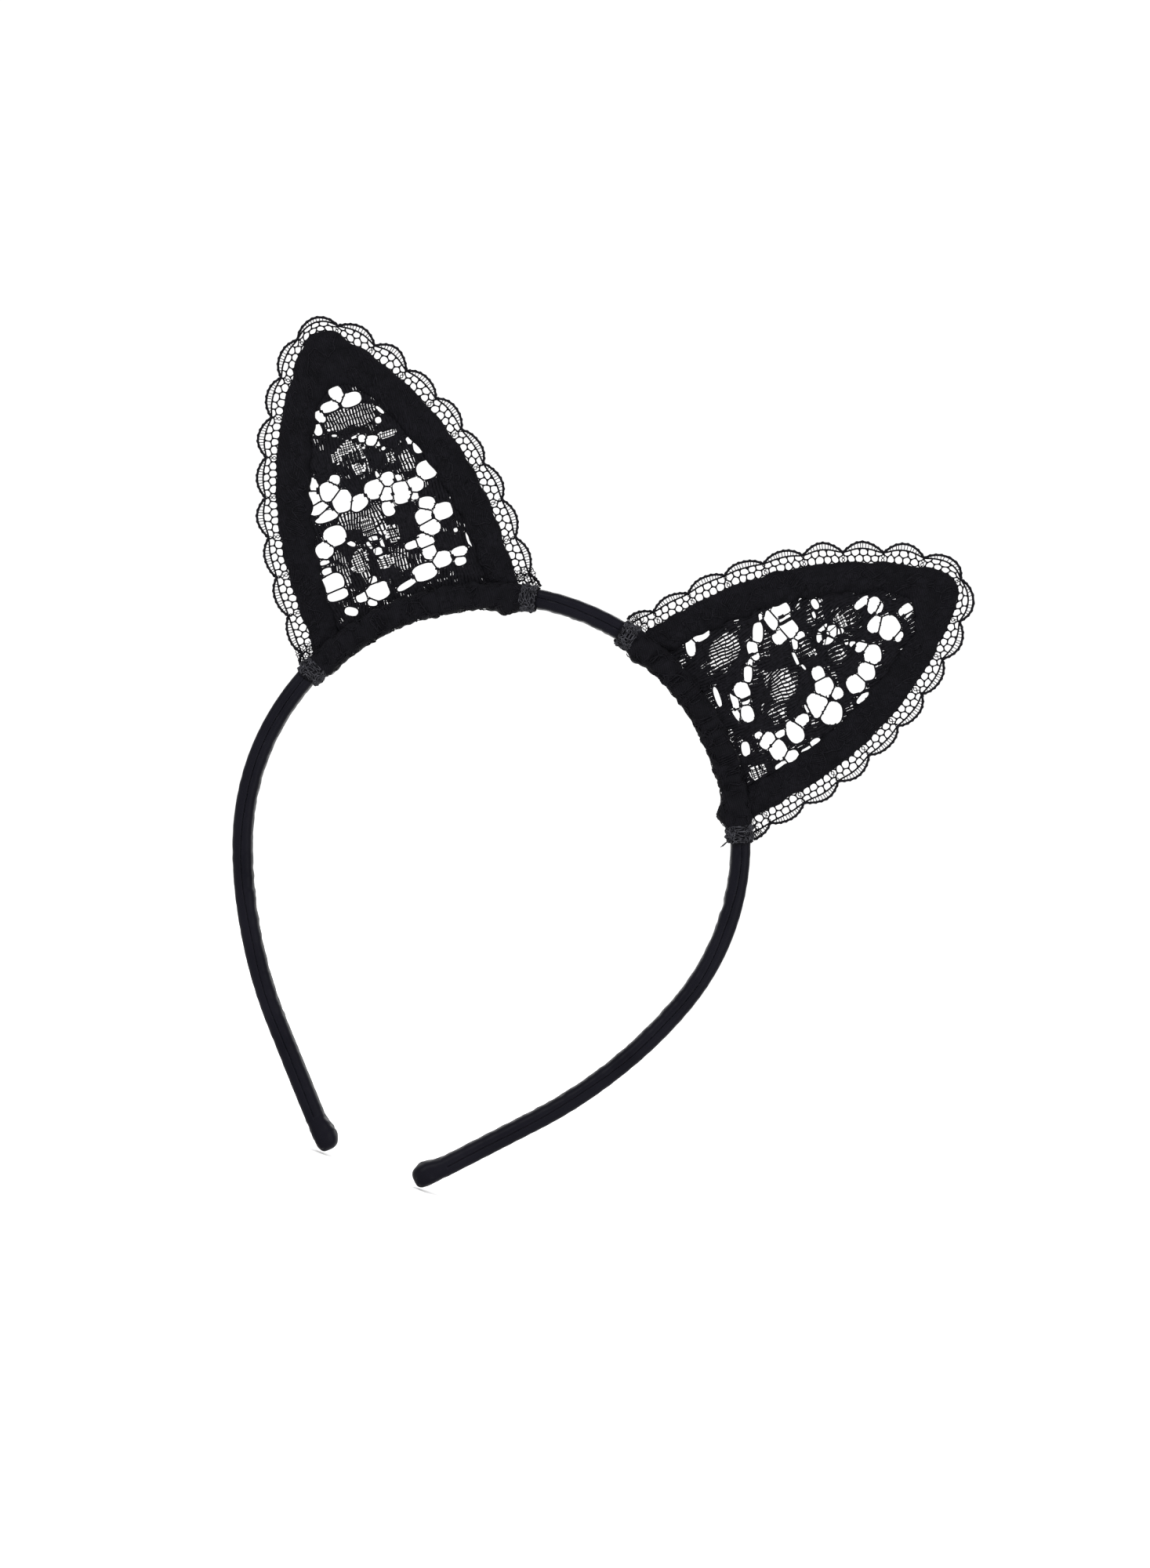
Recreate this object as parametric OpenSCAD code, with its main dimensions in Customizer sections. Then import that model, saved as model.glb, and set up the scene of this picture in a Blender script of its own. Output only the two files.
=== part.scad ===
// Headband with a pair of lace cat ears, standing as it is worn: +Z up, -Y to the front.
// The origin is the middle of the band's inner face at the crown, where it rests on the head.
// All sizes are in millimetres and all angles in degrees.

/* [Band] */
// Radius of the crown curve, along the middle of the band
crown_r = 60.3; // [57:0.1:64]
// How far the crown curve runs on below the horizontal
crown_drop = 20; // [14:1:24]
// Radius of the flatter curve down each side
side_r = 115; // [100:1:130]
// Lean of the straight tips from the vertical
tip_lean = 42.5; // [38:0.5:45]
// Length of each straight tip
tip_run = 33; // [28:1:38]
// Width of the finished band, front to back
band_w = 8; // [7:0.5:11]
// Thickness of the finished band, inner face to outer face
band_t = 4.6; // [4.2:0.1:5.4]
// Thickness of one layer of glued satin ribbon
satin_t = 0.8; // [0.5:0.1:1]

/* [Band tips] */
// Length of the folded ribbon end on each tip
fold_run = 9; // [7:0.5:12]
// Extra thickness of the fold on the inner face
fold_t = 1.1; // [0.6:0.1:1.5]

/* [Ears] */
// Lean of the left ear's own axis from the vertical
left_ear_lean = 39.5; // [36:0.1:42]
// Lean of the right ear's own axis from the vertical
right_ear_lean = 40.6; // [36:0.1:42]
// Angle round the crown, from the vertical, to the middle of the left ear's base
left_ear_seat = 38.7; // [38:0.1:42]
// The same angle for the right ear
right_ear_seat = 39.6; // [38:0.1:42]
// Distance from the crown's centre to the middle of an ear's base
ear_base_r = 52; // [51:0.1:53]
// Half the width of an ear's black border at its base
ear_half_w = 26.2; // [24:0.1:28]
// Height above the base at which the left ear's sides start to curve in
left_ear_spring_h = 20; // [16:1:24]
// The same height for the right ear, which is a little shorter
right_ear_spring_h = 18; // [16:1:24]
// Radius of the ear's curved sides
ear_side_r = 86; // [82:1:92]
// Radius of the ear's rounded tip
ear_tip_r = 6; // [4.5:0.5:8]
// Thickness of the ear's border, front to back
ear_t = 4; // [4:0.2:5]

/* [Lace window] */
// Half the width of the window at its foot
window_half_w = 18.8; // [17:0.1:19]
// Height above the base at which the window's sides start to curve in
window_spring_h = 14; // [12:1:16]
// Radius of the window's curved sides
window_side_r = 95; // [90:1:100]
// Radius of the window's rounded top
window_tip_r = 7; // [5:0.5:8]
// Thickness of the lace sheet
lace_t = 0.6; // [0.4:0.1:0.7]

/* [Scalloped trim] */
// Scallops round the left ear: an odd number, so that one stands on its tip
left_scallops = 19; // [17:2:19]
// Scallops round the right ear: an even number, so that two meet at its tip
right_scallops = 18; // [16:2:18]
// Distance from one scallop to the next along the border
scallop_pitch = 9.5; // [9:0.1:9.8]
// Reach of a scallop beyond the border
trim_w = 4.75; // [4:0.25:5.5]
// Radius of a scallop's edge
scallop_r = 10; // [8:0.5:12]
// Thickness of the trim
trim_t = 0.8; // [0.6:0.1:1]

/* [Ear structure] */
// Diameter of the steel wire that shapes an ear
wire_d = 1.4; // [1:0.1:1.4]
// Thickness of the fabric that binds an ear's border
binding_t = 0.4; // [0.3:0.1:0.5]
// Wall of the lace wrapped round the band under an ear
wrap_t = 0.7; // [0.5:0.1:0.9]
// Extra thickness of that wrap on the inner face, where it is gathered
gather_t = 0.5; // [0:0.1:0.8]
// Wall of the net ties at the corners of an ear
tie_t = 0.7; // [0.5:0.1:0.7]
// Length of a net tie along the band
tie_run = 4.7; // [4:0.1:5.5]
// How far the inner tie of an ear covers the corner of its border
tie_cover = 1; // [0:0.1:1.5]
// Diameter of the sewing thread round the wrap
thread_d = 0.5; // [0.4:0.1:0.6]
// Loops of thread under one lace window
thread_loops = 5; // [3:1:5]

/* [Hidden] */
$fn = 128;

satin_black = [0.12, 0.12, 0.15];
lace_black = [0.06, 0.06, 0.08];
net_grey = [0.22, 0.22, 0.24];
felt_black = [0.09, 0.09, 0.10];
plastic_black = [0.15, 0.15, 0.15];
steel_grey = [0.66, 0.68, 0.70];

right = 1;
left = -1;

// Band section
band_round = 1.6;                        // corner radius of the finished band
core_w = band_w - 2 * satin_t;
core_t = band_t - 2 * satin_t;
core_round = 0.8;
core_end_gap = 1;                        // ribbon folded over the end of the core
crown_z = -(crown_r - band_t / 2);       // height of the crown's centre
side_gap = crown_r - side_r;             // side curve's centre, measured from the crown's
side_centre = [side_gap * cos(crown_drop), 0, crown_z - side_gap * sin(crown_drop)];
tip_start = side_centre + side_r * [cos(tip_lean), 0, -sin(tip_lean)];
satin_run = tip_run - fold_run;
fold_round = 1.8;                        // corner radius of the fold, seen from the front
joint_slim = 0.01;                       // step between the stretches of one swept piece
joint_turn = 0.2;                        // how far they run into each other

// Ear frame: x across the ear, z up its axis, measured from the middle of its base
function ear_lean(side) = side == left ? left_ear_lean : right_ear_lean;
function ear_seat(side) = side == left ? left_ear_seat : right_ear_seat;
function ear_spring_h(side) = side == left ? left_ear_spring_h : right_ear_spring_h;
function crown_in_ear(side) =
    -ear_base_r * [sin(ear_seat(side) - ear_lean(side)), cos(ear_seat(side) - ear_lean(side))];
below_ear = 12;                          // how far sketches run below the base before trimming

// Layers of an ear, inside out
pad_clear = 0.05;                        // room between neighbouring layers
wire_clear = 0.5;                        // room between the wire and the fabric beside it
lace_clear = 0.8;                        // room between the wire and the lace sheet's edge
wire_r = wire_d / 2;
wire_inset = binding_t + wire_clear + wire_r;  // wire's middle, in from the border's edge
pad_in = wire_r + pad_clear;
pad_out = ear_t / 2 - binding_t - pad_clear;
lace_slot = lace_t / 2 + pad_clear;
lace_inset = wire_inset + wire_r + lace_clear;  // lace sheet's edge, in from the border's edge

// Radii round the crown's centre, from the band outwards
band_out_r = crown_r + band_t / 2;
wrap_out_r = band_out_r + wrap_t;
tie_out_r = band_out_r + tie_t;
foot_r = wrap_out_r + binding_t + wire_r + pad_clear;
lace_foot_r = wrap_out_r + thread_d + pad_clear;
trim_foot_r = tie_out_r + pad_clear;
foot_run = 4.5;                          // wire turned in along the band at each leg's end

// Angles from the vertical, round the crown, of an ear's two corners
function corner(side, hand) =
    ear_lean(side) + asin((hand * ear_half_w - crown_in_ear(side)[0]) / crown_r);
function inner_corner(side) = corner(side, left) + tie_cover / crown_r * 180 / PI;
function outer_corner(side) = corner(side, right);
function window_middle(side) = ear_lean(side) - asin(crown_in_ear(side)[0] / wrap_out_r);
tie_turn = tie_run / crown_r * 180 / PI;
loop_turn = 6.2;                         // angle from one thread loop to the next

// ---------- sections and sweeps ----------

// Rounded rectangle, w wide in y, from x = -inside to x = outside
module rounded_section(w, inside, outside, r) {
    translate([-inside + r, -w / 2]) square([inside + outside - 2 * r, w]);
    translate([-inside, -w / 2 + r]) square([inside + outside, w - 2 * r]);
    for (x = [-inside + r, outside - r], y = [-w / 2 + r, w / 2 - r])
        translate([x, y]) circle(r);
}

module band_section() rounded_section(band_w, band_t / 2, band_t / 2, band_round);
module core_section(slim = 0)
    rounded_section(core_w - 2 * slim, core_t / 2 - slim, core_t / 2 - slim, core_round);

// Sweeps a section round the Y axis, between two angles from the vertical
module sweep(r, from, to)
    rotate([90, 0, 0]) rotate([0, 0, 90 - to])
        rotate_extrude(angle = to - from) translate([r, 0]) children();

module crown_sweep(from, to) translate([0, 0, crown_z]) sweep(crown_r, from, to) children();

// Mirrors the right-hand piece for the left-hand one
module on_side(side) mirror([side == left ? 1 : 0, 0, 0]) children();

// Straight stretch of the right tip, between two distances from where it starts
module tip_stretch(from, to)
    translate(tip_start) rotate([0, tip_lean, 0]) translate([0, 0, -to])
        linear_extrude(to - from) children();

// A section carried along the whole band, with straight tips of the given length.
// The side curves take the second section, a hair slimmer, and run a little into their neighbours.
module along_band(run) {
    crown_sweep(-90 - crown_drop, 90 + crown_drop) children(0);
    for (side = [left, right]) on_side(side) {
        translate(side_centre)
            sweep(side_r, 90 + crown_drop - joint_turn, 90 + tip_lean + joint_turn) children(1);
        tip_stretch(0, run) children(0);
    }
}

// ---------- ear sketches ----------

// Arch with straight feet, curved sides and a round top
module arch(half_w, spring_h, arc_r, top_r) {
    centre_x = arc_r - half_w;
    top_h = spring_h + sqrt(pow(arc_r - top_r, 2) - pow(centre_x, 2));
    touch_h = spring_h + (top_h - spring_h) * arc_r / (arc_r - top_r);
    translate([-half_w, -below_ear]) square([2 * half_w, spring_h + below_ear]);
    intersection() {
        translate([-centre_x, spring_h]) circle(arc_r);
        translate([centre_x, spring_h]) circle(arc_r);
        translate([-half_w, spring_h]) square([2 * half_w, touch_h - spring_h]);
    }
    translate([0, top_h]) circle(top_r);
}

// The ear's outline, in from the border's edge by inset
module ear_outline(side, inset)
    arch(ear_half_w - inset, ear_spring_h(side), ear_side_r - inset, ear_tip_r - inset);

// The window's outline, grown by grow
module window_outline(grow)
    arch(window_half_w + grow, window_spring_h, window_side_r + grow, window_tip_r + grow);

// Everything within a radius of the crown's centre, in the ear's own frame
module within(side, r) translate(crown_in_ear(side)) circle(r, $fn = 360);

// The border as a flat ring that stands on the wrap
module border_ring(side, inset, foot) difference() {
    ear_outline(side, inset);
    window_outline(inset);
    within(side, foot);
}

// A sketch in the ear's frame, thickened from depth y0 to y1
module slab(y0, y1) rotate([90, 0, 0]) translate([0, 0, -y1]) linear_extrude(y1 - y0) children();

// Places a piece in the frame of one ear
module at_ear(side) on_side(side)
    translate([ear_base_r * sin(ear_seat(side)), 0, crown_z + ear_base_r * cos(ear_seat(side))])
        rotate([0, ear_lean(side), 0]) children();

// ---------- band ----------

module band_core() color(plastic_black) along_band(tip_run - core_end_gap) {
    core_section();
    core_section(joint_slim);
}

// Section of one of the two ribbons, which meet along the middle of the band's front and back edges
module satin_section(side, slim = 0) difference() {
    intersection() {
        rounded_section(band_w - 2 * slim, band_t / 2 - slim, band_t / 2 - slim, band_round);
        translate([side == right ? slim : -band_t - slim, -band_w]) square([band_t, 2 * band_w]);
    }
    core_section(-slim);
}

module satin_half(side) along_band(satin_run) {
    satin_section(side);
    satin_section(side, joint_slim);
}

module band_outer_satin() color(satin_black) satin_half(right);
module band_inner_satin() color(satin_black) satin_half(left);

// Ribbon end folded round a tip, thicker on its inner face
module tip_fold(side) color(satin_black) on_side(side) difference() {
    intersection() {
        tip_stretch(satin_run, tip_run)
            rounded_section(band_w, band_t / 2 + fold_t, band_t / 2, band_round);
        translate(tip_start) rotate([0, tip_lean, 0]) translate([0, 0, -tip_run])
            slab(-band_w, band_w) translate([-fold_t / 2, fold_run / 2]) rotate(90)
                rounded_section(band_t + fold_t, fold_run / 2, fold_run / 2, fold_round);
    }
    tip_stretch(satin_run - 1, tip_run - core_end_gap) core_section();
}

module left_tip_fold() tip_fold(left);
module right_tip_fold() tip_fold(right);

// ---------- ear: frame, pads and binding ----------

// Steel wire up both sides of an ear, with its ends turned in along the band
module ear_wire(side) color(steel_grey) at_ear(side) {
    crown = crown_in_ear(side);
    leg_x = ear_half_w - wire_inset;
    bend_r = ear_side_r - wire_inset;
    tip_r = ear_tip_r - wire_inset;
    centre_x = bend_r - leg_x;
    spring_h = ear_spring_h(side);
    tip_h = spring_h + sqrt(pow(bend_r - tip_r, 2) - pow(centre_x, 2));
    side_turn = atan2(tip_h - spring_h, centre_x);
    for (hand = [left, right]) {
        foot_at = asin((hand * leg_x - crown[0]) / foot_r);
        foot_z = crown[1] + foot_r * cos(foot_at);
        foot_turn = foot_run / foot_r * 180 / PI;
        foot_end = foot_at - hand * foot_turn;
        translate([hand * leg_x, 0, foot_z]) {
            cylinder(h = spring_h - foot_z, r = wire_r);
            sphere(wire_r + joint_slim);
        }
        translate([crown[0], 0, crown[1]])
            sweep(foot_r, min(foot_at, foot_end), max(foot_at, foot_end))
                circle(wire_r - joint_slim);
        on_side(hand) translate([-centre_x, 0, spring_h])
            sweep(bend_r, 90 - side_turn - joint_turn, 90 + joint_turn)
                circle(wire_r - joint_slim);
    }
    translate([0, 0, tip_h]) sweep(tip_r, side_turn - 90, 90 - side_turn) circle(wire_r);
}

// Soft felt ring in front of the wire, or behind it
module ear_pad(side, face) color(felt_black) at_ear(side)
    slab(face < 0 ? -pad_out : pad_in, face < 0 ? -pad_in : pad_out)
        border_ring(side, binding_t + pad_clear, wrap_out_r + binding_t + pad_clear);

// Fabric folded round the border, with a slot at the window for the lace sheet
module ear_binding(side) color(lace_black) at_ear(side) difference() {
    slab(-ear_t / 2, ear_t / 2) border_ring(side, 0, wrap_out_r);
    slab(binding_t - ear_t / 2, ear_t / 2 - binding_t)
        border_ring(side, binding_t, wrap_out_r + binding_t);
    slab(-lace_slot, lace_slot) difference() {
        window_outline(2 * binding_t);
        within(side, wrap_out_r + binding_t);
    }
}

// ---------- ear: lace ----------

// Lace sheet across the window, its margin held inside the border
module ear_lace_panel(side) color(lace_black) at_ear(side) slab(-lace_t / 2, lace_t / 2) {
    difference() {
        ear_outline(side, lace_inset);
        within(side, foot_r + wire_r + wire_clear);
    }
    difference() {
        intersection() {
            window_outline(-pad_clear);
            translate([-window_half_w, -below_ear]) square([2 * window_half_w, ear_spring_h(side) + below_ear]);
        }
        within(side, lace_foot_r);
    }
}

// Point on the border's edge at a distance along it from the ear's tip, moved in by inset
function edge_point(side, along, inset) =
    let (
        spring_h = ear_spring_h(side),
        centre_x = ear_side_r - ear_half_w,
        tip_h = spring_h + sqrt(pow(ear_side_r - ear_tip_r, 2) - pow(centre_x, 2)),
        tip_turn = atan2(centre_x, tip_h - spring_h),
        tip_len = ear_tip_r * tip_turn * PI / 180,
        side_len = ear_side_r * (90 - tip_turn) * PI / 180,
        s = abs(along),
        turn = s < tip_len ? s / ear_tip_r * 180 / PI
             : min(90, tip_turn + (s - tip_len) / ear_side_r * 180 / PI),
        r = s < tip_len ? ear_tip_r - inset : ear_side_r - inset,
        centre = s < tip_len ? [0, tip_h] : [-centre_x, spring_h],
        drop = max(0, s - tip_len - side_len)
    )
    [sign(along) * (centre[0] + r * sin(turn)), centre[1] + r * cos(turn) - drop];

// Net edging with a scalloped outer edge, sewn on round the border
module ear_trim(side) color(lace_black) at_ear(side) slab(-trim_t / 2, trim_t / 2) difference() {
    scallops = side == left ? left_scallops : right_scallops;
    for (i = [0 : scallops - 1])
        translate(edge_point(side, (i - (scallops - 1) / 2) * scallop_pitch, scallop_r - trim_w))
            circle(scallop_r);
    ear_outline(side, 0);
    within(side, trim_foot_r);
}

// ---------- ear: fastening to the band ----------

module wrap_section(wall)
    rounded_section(band_w + 2 * wall, band_t / 2 + wall + gather_t, band_t / 2 + wall, band_round + wall);

// Sleeve of any section round the band, between two angles
module sleeve(side, from, to) on_side(side) crown_sweep(from, to) difference() {
    children();
    band_section();
}

module ear_base_wrap(side) color(lace_black)
    sleeve(side, inner_corner(side), outer_corner(side)) wrap_section(wrap_t);

module ear_tie(side, from) color(net_grey)
    sleeve(side, from, from + tie_turn) wrap_section(tie_t);

// Thread loops that gather the wrap and hold it to the foot of the lace sheet
module ear_stitches(side) color(lace_black) on_side(side)
    for (i = [0 : thread_loops - 1]) {
        middle = window_middle(side) + (i - (thread_loops - 1) / 2) * loop_turn;
        half_turn = thread_d / crown_r * 90 / PI;
        crown_sweep(middle - half_turn, middle + half_turn) difference() {
            wrap_section(wrap_t + thread_d);
            wrap_section(wrap_t);
        }
    }

module left_ear_wire() ear_wire(left);
module left_ear_front_pad() ear_pad(left, -1);
module left_ear_back_pad() ear_pad(left, 1);
module left_ear_binding() ear_binding(left);
module left_ear_lace_panel() ear_lace_panel(left);
module left_ear_trim() ear_trim(left);
module left_ear_base_wrap() ear_base_wrap(left);
module left_ear_inner_tie() ear_tie(left, inner_corner(left) - tie_turn);
module left_ear_outer_tie() ear_tie(left, outer_corner(left));
module left_ear_stitches() ear_stitches(left);
module right_ear_wire() ear_wire(right);
module right_ear_front_pad() ear_pad(right, -1);
module right_ear_back_pad() ear_pad(right, 1);
module right_ear_binding() ear_binding(right);
module right_ear_lace_panel() ear_lace_panel(right);
module right_ear_trim() ear_trim(right);
module right_ear_base_wrap() ear_base_wrap(right);
module right_ear_inner_tie() ear_tie(right, inner_corner(right) - tie_turn);
module right_ear_outer_tie() ear_tie(right, outer_corner(right));
module right_ear_stitches() ear_stitches(right);

band_core();
band_outer_satin();
band_inner_satin();
left_tip_fold();
right_tip_fold();
left_ear_wire();
left_ear_front_pad();
left_ear_back_pad();
left_ear_binding();
left_ear_lace_panel();
left_ear_trim();
left_ear_base_wrap();
left_ear_inner_tie();
left_ear_outer_tie();
left_ear_stitches();
right_ear_wire();
right_ear_front_pad();
right_ear_back_pad();
right_ear_binding();
right_ear_lace_panel();
right_ear_trim();
right_ear_base_wrap();
right_ear_inner_tie();
right_ear_outer_tie();
right_ear_stitches();
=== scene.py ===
"""Looks of a satin headband with lace cat ears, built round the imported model.

Lengths inside the builders are millimetres in the row frame: +Z up as worn, -Y to the front.
"""

import math
import random

import bpy
import numpy as np
from mathutils import Matrix, Vector


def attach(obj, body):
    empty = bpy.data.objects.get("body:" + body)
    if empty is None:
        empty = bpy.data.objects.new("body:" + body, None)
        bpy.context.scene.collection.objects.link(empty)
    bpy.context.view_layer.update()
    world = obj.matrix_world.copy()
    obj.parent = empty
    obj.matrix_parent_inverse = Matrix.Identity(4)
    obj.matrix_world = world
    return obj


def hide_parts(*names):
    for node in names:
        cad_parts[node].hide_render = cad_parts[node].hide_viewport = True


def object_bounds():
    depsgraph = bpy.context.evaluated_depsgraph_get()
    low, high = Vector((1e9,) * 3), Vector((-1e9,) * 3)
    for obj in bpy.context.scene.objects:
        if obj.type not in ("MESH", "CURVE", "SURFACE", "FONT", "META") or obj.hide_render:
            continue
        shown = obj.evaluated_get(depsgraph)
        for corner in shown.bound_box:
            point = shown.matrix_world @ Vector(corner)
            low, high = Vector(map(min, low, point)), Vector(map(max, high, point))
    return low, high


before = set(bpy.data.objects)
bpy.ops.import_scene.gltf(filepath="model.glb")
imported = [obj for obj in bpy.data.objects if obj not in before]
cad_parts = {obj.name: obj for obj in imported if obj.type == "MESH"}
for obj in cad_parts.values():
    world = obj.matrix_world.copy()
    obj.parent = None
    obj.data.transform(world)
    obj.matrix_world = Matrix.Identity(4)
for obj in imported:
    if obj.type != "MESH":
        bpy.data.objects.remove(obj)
cad_low, cad_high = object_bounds()

MM = 0.001

# Driving dimensions, the same as the part's
CROWN_R, CROWN_DROP = 60.3, 20
SIDE_R = 115
TIP_LEAN, TIP_RUN = 42.5, 33
BAND_W, BAND_T = 8, 4.6
SATIN_T, BAND_ROUND = 0.8, 1.6
FOLD_RUN, FOLD_T = 9, 1.1
EAR_LEAN, EAR_SEAT, EAR_BASE_R = {-1: 39.5, 1: 40.6}, {-1: 38.7, 1: 39.6}, 52
EAR_HALF_W, EAR_SPRING_H, EAR_SIDE_R, EAR_TIP_R, EAR_T = 26.2, {-1: 20, 1: 18}, 86, 6, 4
WINDOW_HALF_W, WINDOW_SPRING_H, WINDOW_SIDE_R, WINDOW_TIP_R = 18.8, 14, 95, 7
SCALLOPS, SCALLOP_PITCH, TRIM_W = {"left": 19, "right": 18}, 9.5, 4.75
WRAP_T, GATHER_T, TIE_T, TIE_RUN, TIE_COVER = 0.7, 0.5, 0.7, 4.7, 1
THREAD_LOOPS, LOOP_TURN = 5, 6.2

# Soft shapes: leg length and squareness of an ear's border, mean radius of the covered band's section
BORDER_LEG, BORDER_POWER, SECTION_R = 86, 2.6, 4.3
SAME_POINT = 0.001

CROWN_Z = -(CROWN_R - BAND_T / 2)
BAND_OUT_R = CROWN_R + BAND_T / 2
WRAP_OUT_R = BAND_OUT_R + WRAP_T
SIDES = {"left": -1, "right": 1}


# ---------- camera, light and floor ----------


def make_camera():
    """A long lens square on to the object, rolled as the photographer's was."""
    data = bpy.data.cameras.new("camera")
    data.lens, data.sensor_width = 100, 36
    view_height, middle, roll = 0.380, (0.0139, -0.0374), 20.4
    camera = bpy.data.objects.new("camera", data)
    bpy.context.scene.collection.objects.link(camera)
    distance = view_height / 2 / (data.sensor_width / 2 / data.lens)
    place = Matrix.Translation((middle[0], -distance, middle[1]))
    turn = Matrix.Rotation(math.radians(90), 4, "X") @ Matrix.Rotation(math.radians(roll), 4, "Z")
    camera.matrix_world = place @ turn
    data.clip_start, data.clip_end = 0.05, 50
    bpy.context.scene.camera = camera


def make_lamp(name, place, size, power, aim=(0, 0, -0.05)):
    """One large soft lamp that faces the object."""
    data = bpy.data.lights.new(name, "AREA")
    data.shape, data.size, data.energy = "DISK", size, power
    lamp = bpy.data.objects.new(name, data)
    lamp.location = place
    lamp.rotation_euler = (Vector(place) - Vector(aim)).to_track_quat("Z", "Y").to_euler()
    bpy.context.scene.collection.objects.link(lamp)


def make_studio():
    """A pale floor under the tips, an even white surround and three soft lamps."""
    scene = bpy.context.scene
    scene.view_settings.view_transform = "Standard"
    scene.view_settings.look = "None"
    world = bpy.data.worlds.new("surround")
    world.use_nodes = True
    set_inputs(world.node_tree.nodes["Background"], Color=(1, 1, 1, 1), Strength=1.08)
    scene.world = world
    floor_z, half = cad_low.z - 0.0005, 1.5
    mesh = bpy.data.meshes.new("floor")
    corners = [(-half, -half, floor_z), (half, -half, floor_z), (half, half, floor_z), (-half, half, floor_z)]
    mesh.from_pydata(corners, [], [(0, 1, 2, 3)])
    floor = bpy.data.objects.new("floor", mesh)
    scene.collection.objects.link(floor)
    mesh.materials.append(plain_material("floor_paint", (0.96, 0.96, 0.96), 1.0))
    make_lamp("key_lamp", (-0.45, -0.75, 0.55), 0.5, 9)
    make_lamp("fill_lamp", (0.6, -0.7, 0.1), 0.6, 4)
    make_lamp("back_lamp", (0.2, 0.8, 0.5), 0.6, 5)


# ---------- materials ----------


def set_inputs(node, **values):
    """Sets a node's sockets by name, with _ for each space."""
    for socket, value in values.items():
        node.inputs[socket.replace("_", " ")].default_value = value


def plain_material(name, colour, roughness):
    material = bpy.data.materials.new(name)
    material.use_nodes = True
    set_inputs(material.node_tree.nodes["Principled BSDF"], Base_Color=(*colour, 1), Roughness=roughness)
    return material


def make_material(name, dark, light, roughness, grain, weave=None, bump=0.2, rough_spread=0.1, **fixed):
    """A procedural finish. Colour varies from dark to light over patches of the given grain, in mm.

    weave is (pitch in mm, stretch along x, y and z, share of groove shade): fine ribs in the bump, with
    painted shade that darkens the grooves.
    fixed are shader sockets with one value all over, such as sheen.
    """
    material = plain_material(name, dark, roughness)
    nodes, links = material.node_tree.nodes, material.node_tree.links
    shader = nodes["Principled BSDF"]
    set_inputs(shader, **fixed)
    place = nodes.new("ShaderNodeTexCoord")
    patches = nodes.new("ShaderNodeTexNoise")
    set_inputs(patches, Scale=1 / (grain * MM), Detail=4)
    links.new(place.outputs["Object"], patches.inputs["Vector"])
    ramp = nodes.new("ShaderNodeValToRGB")
    ramp.color_ramp.elements[0].position, ramp.color_ramp.elements[1].position = 0.3, 0.72
    ramp.color_ramp.elements[0].color = (*dark, 1)
    ramp.color_ramp.elements[1].color = (*light, 1)
    links.new(patches.outputs["Fac"], ramp.inputs["Fac"])
    colour, height = ramp.outputs["Color"], patches.outputs["Fac"]
    if weave:
        pitch, stretch, groove_shade = weave
        scaled = nodes.new("ShaderNodeMapping")
        set_inputs(scaled, Scale=stretch)
        links.new(place.outputs["Object"], scaled.inputs["Vector"])
        ribs = nodes.new("ShaderNodeTexWave")
        ribs.wave_type, ribs.bands_direction = "BANDS", "DIAGONAL"
        set_inputs(ribs, Scale=0.3 / (pitch * MM), Distortion=1.5, Detail=2, Detail_Scale=2)
        links.new(scaled.outputs["Vector"], ribs.inputs["Vector"])
        # Painted shade: the ribs' colour darkens the base colour in the grooves, where the bump is low.
        shade = nodes.new("ShaderNodeMix")
        shade.data_type, shade.blend_type = "RGBA", "MULTIPLY"
        set_inputs(shade, Factor=groove_shade)
        links.new(colour, shade.inputs["A"])
        links.new(ribs.outputs["Color"], shade.inputs["B"])
        colour, height = shade.outputs["Result"], ribs.outputs["Fac"]
    links.new(colour, shader.inputs["Base Color"])
    spread = nodes.new("ShaderNodeMapRange")
    set_inputs(spread, To_Min=max(0.05, roughness - rough_spread), To_Max=min(1, roughness + rough_spread))
    links.new(patches.outputs["Fac"], spread.inputs["Value"])
    links.new(spread.outputs["Result"], shader.inputs["Roughness"])
    relief = nodes.new("ShaderNodeBump")
    set_inputs(relief, Strength=bump, Distance=0.08 * MM)
    links.new(height, relief.inputs["Height"])
    links.new(relief.outputs["Normal"], shader.inputs["Normal"])
    return material


def make_materials():
    soft = {"Specular_IOR_Level": 0.06}
    return {
        "satin": make_material(
            "satin", (0.0024, 0.0023, 0.0044), (0.0046, 0.0044, 0.0074), 0.4, 14,
            weave=(0.16, (1, 0.2, 1), 0.25), bump=0.2, rough_spread=0.06, Specular_IOR_Level=0.04),
        "border": make_material(
            "border_cloth", (0.0012, 0.0011, 0.0020), (0.0050, 0.0047, 0.0066), 0.85, 3,
            weave=(0.3, (1, 0.6, 0.7), 0.5), bump=0.6, **soft),
        "lace": make_material(
            "lace_thread", (0.0016, 0.0015, 0.0024), (0.0066, 0.0062, 0.0084), 0.8, 0.8,
            weave=(0.14, (1, 1, 0.4), 0.35), bump=0.5, **soft),
        # The tie net's light end is painted highlight: bright patches at a fine grain stand for glints on the
        # threads.
        "net": make_material(
            "tie_net_painted_glints", (0.0016, 0.0016, 0.0024), (0.062, 0.062, 0.072), 0.7, 0.9,
            weave=(0.15, (1, 1, 0.5), 0.3), bump=0.5, Specular_IOR_Level=0.08),
        "plastic": make_material(
            "core_plastic", (0.018, 0.018, 0.019), (0.026, 0.026, 0.028), 0.55, 4, bump=0.15),
        "steel": make_material(
            "wire_steel", (0.42, 0.43, 0.45), (0.58, 0.60, 0.62), 0.32, 1.5,
            weave=(0.08, (1, 1, 0.05), 0.2), bump=0.2, Metallic=1.0),
    }


# ---------- helpers ----------


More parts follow.
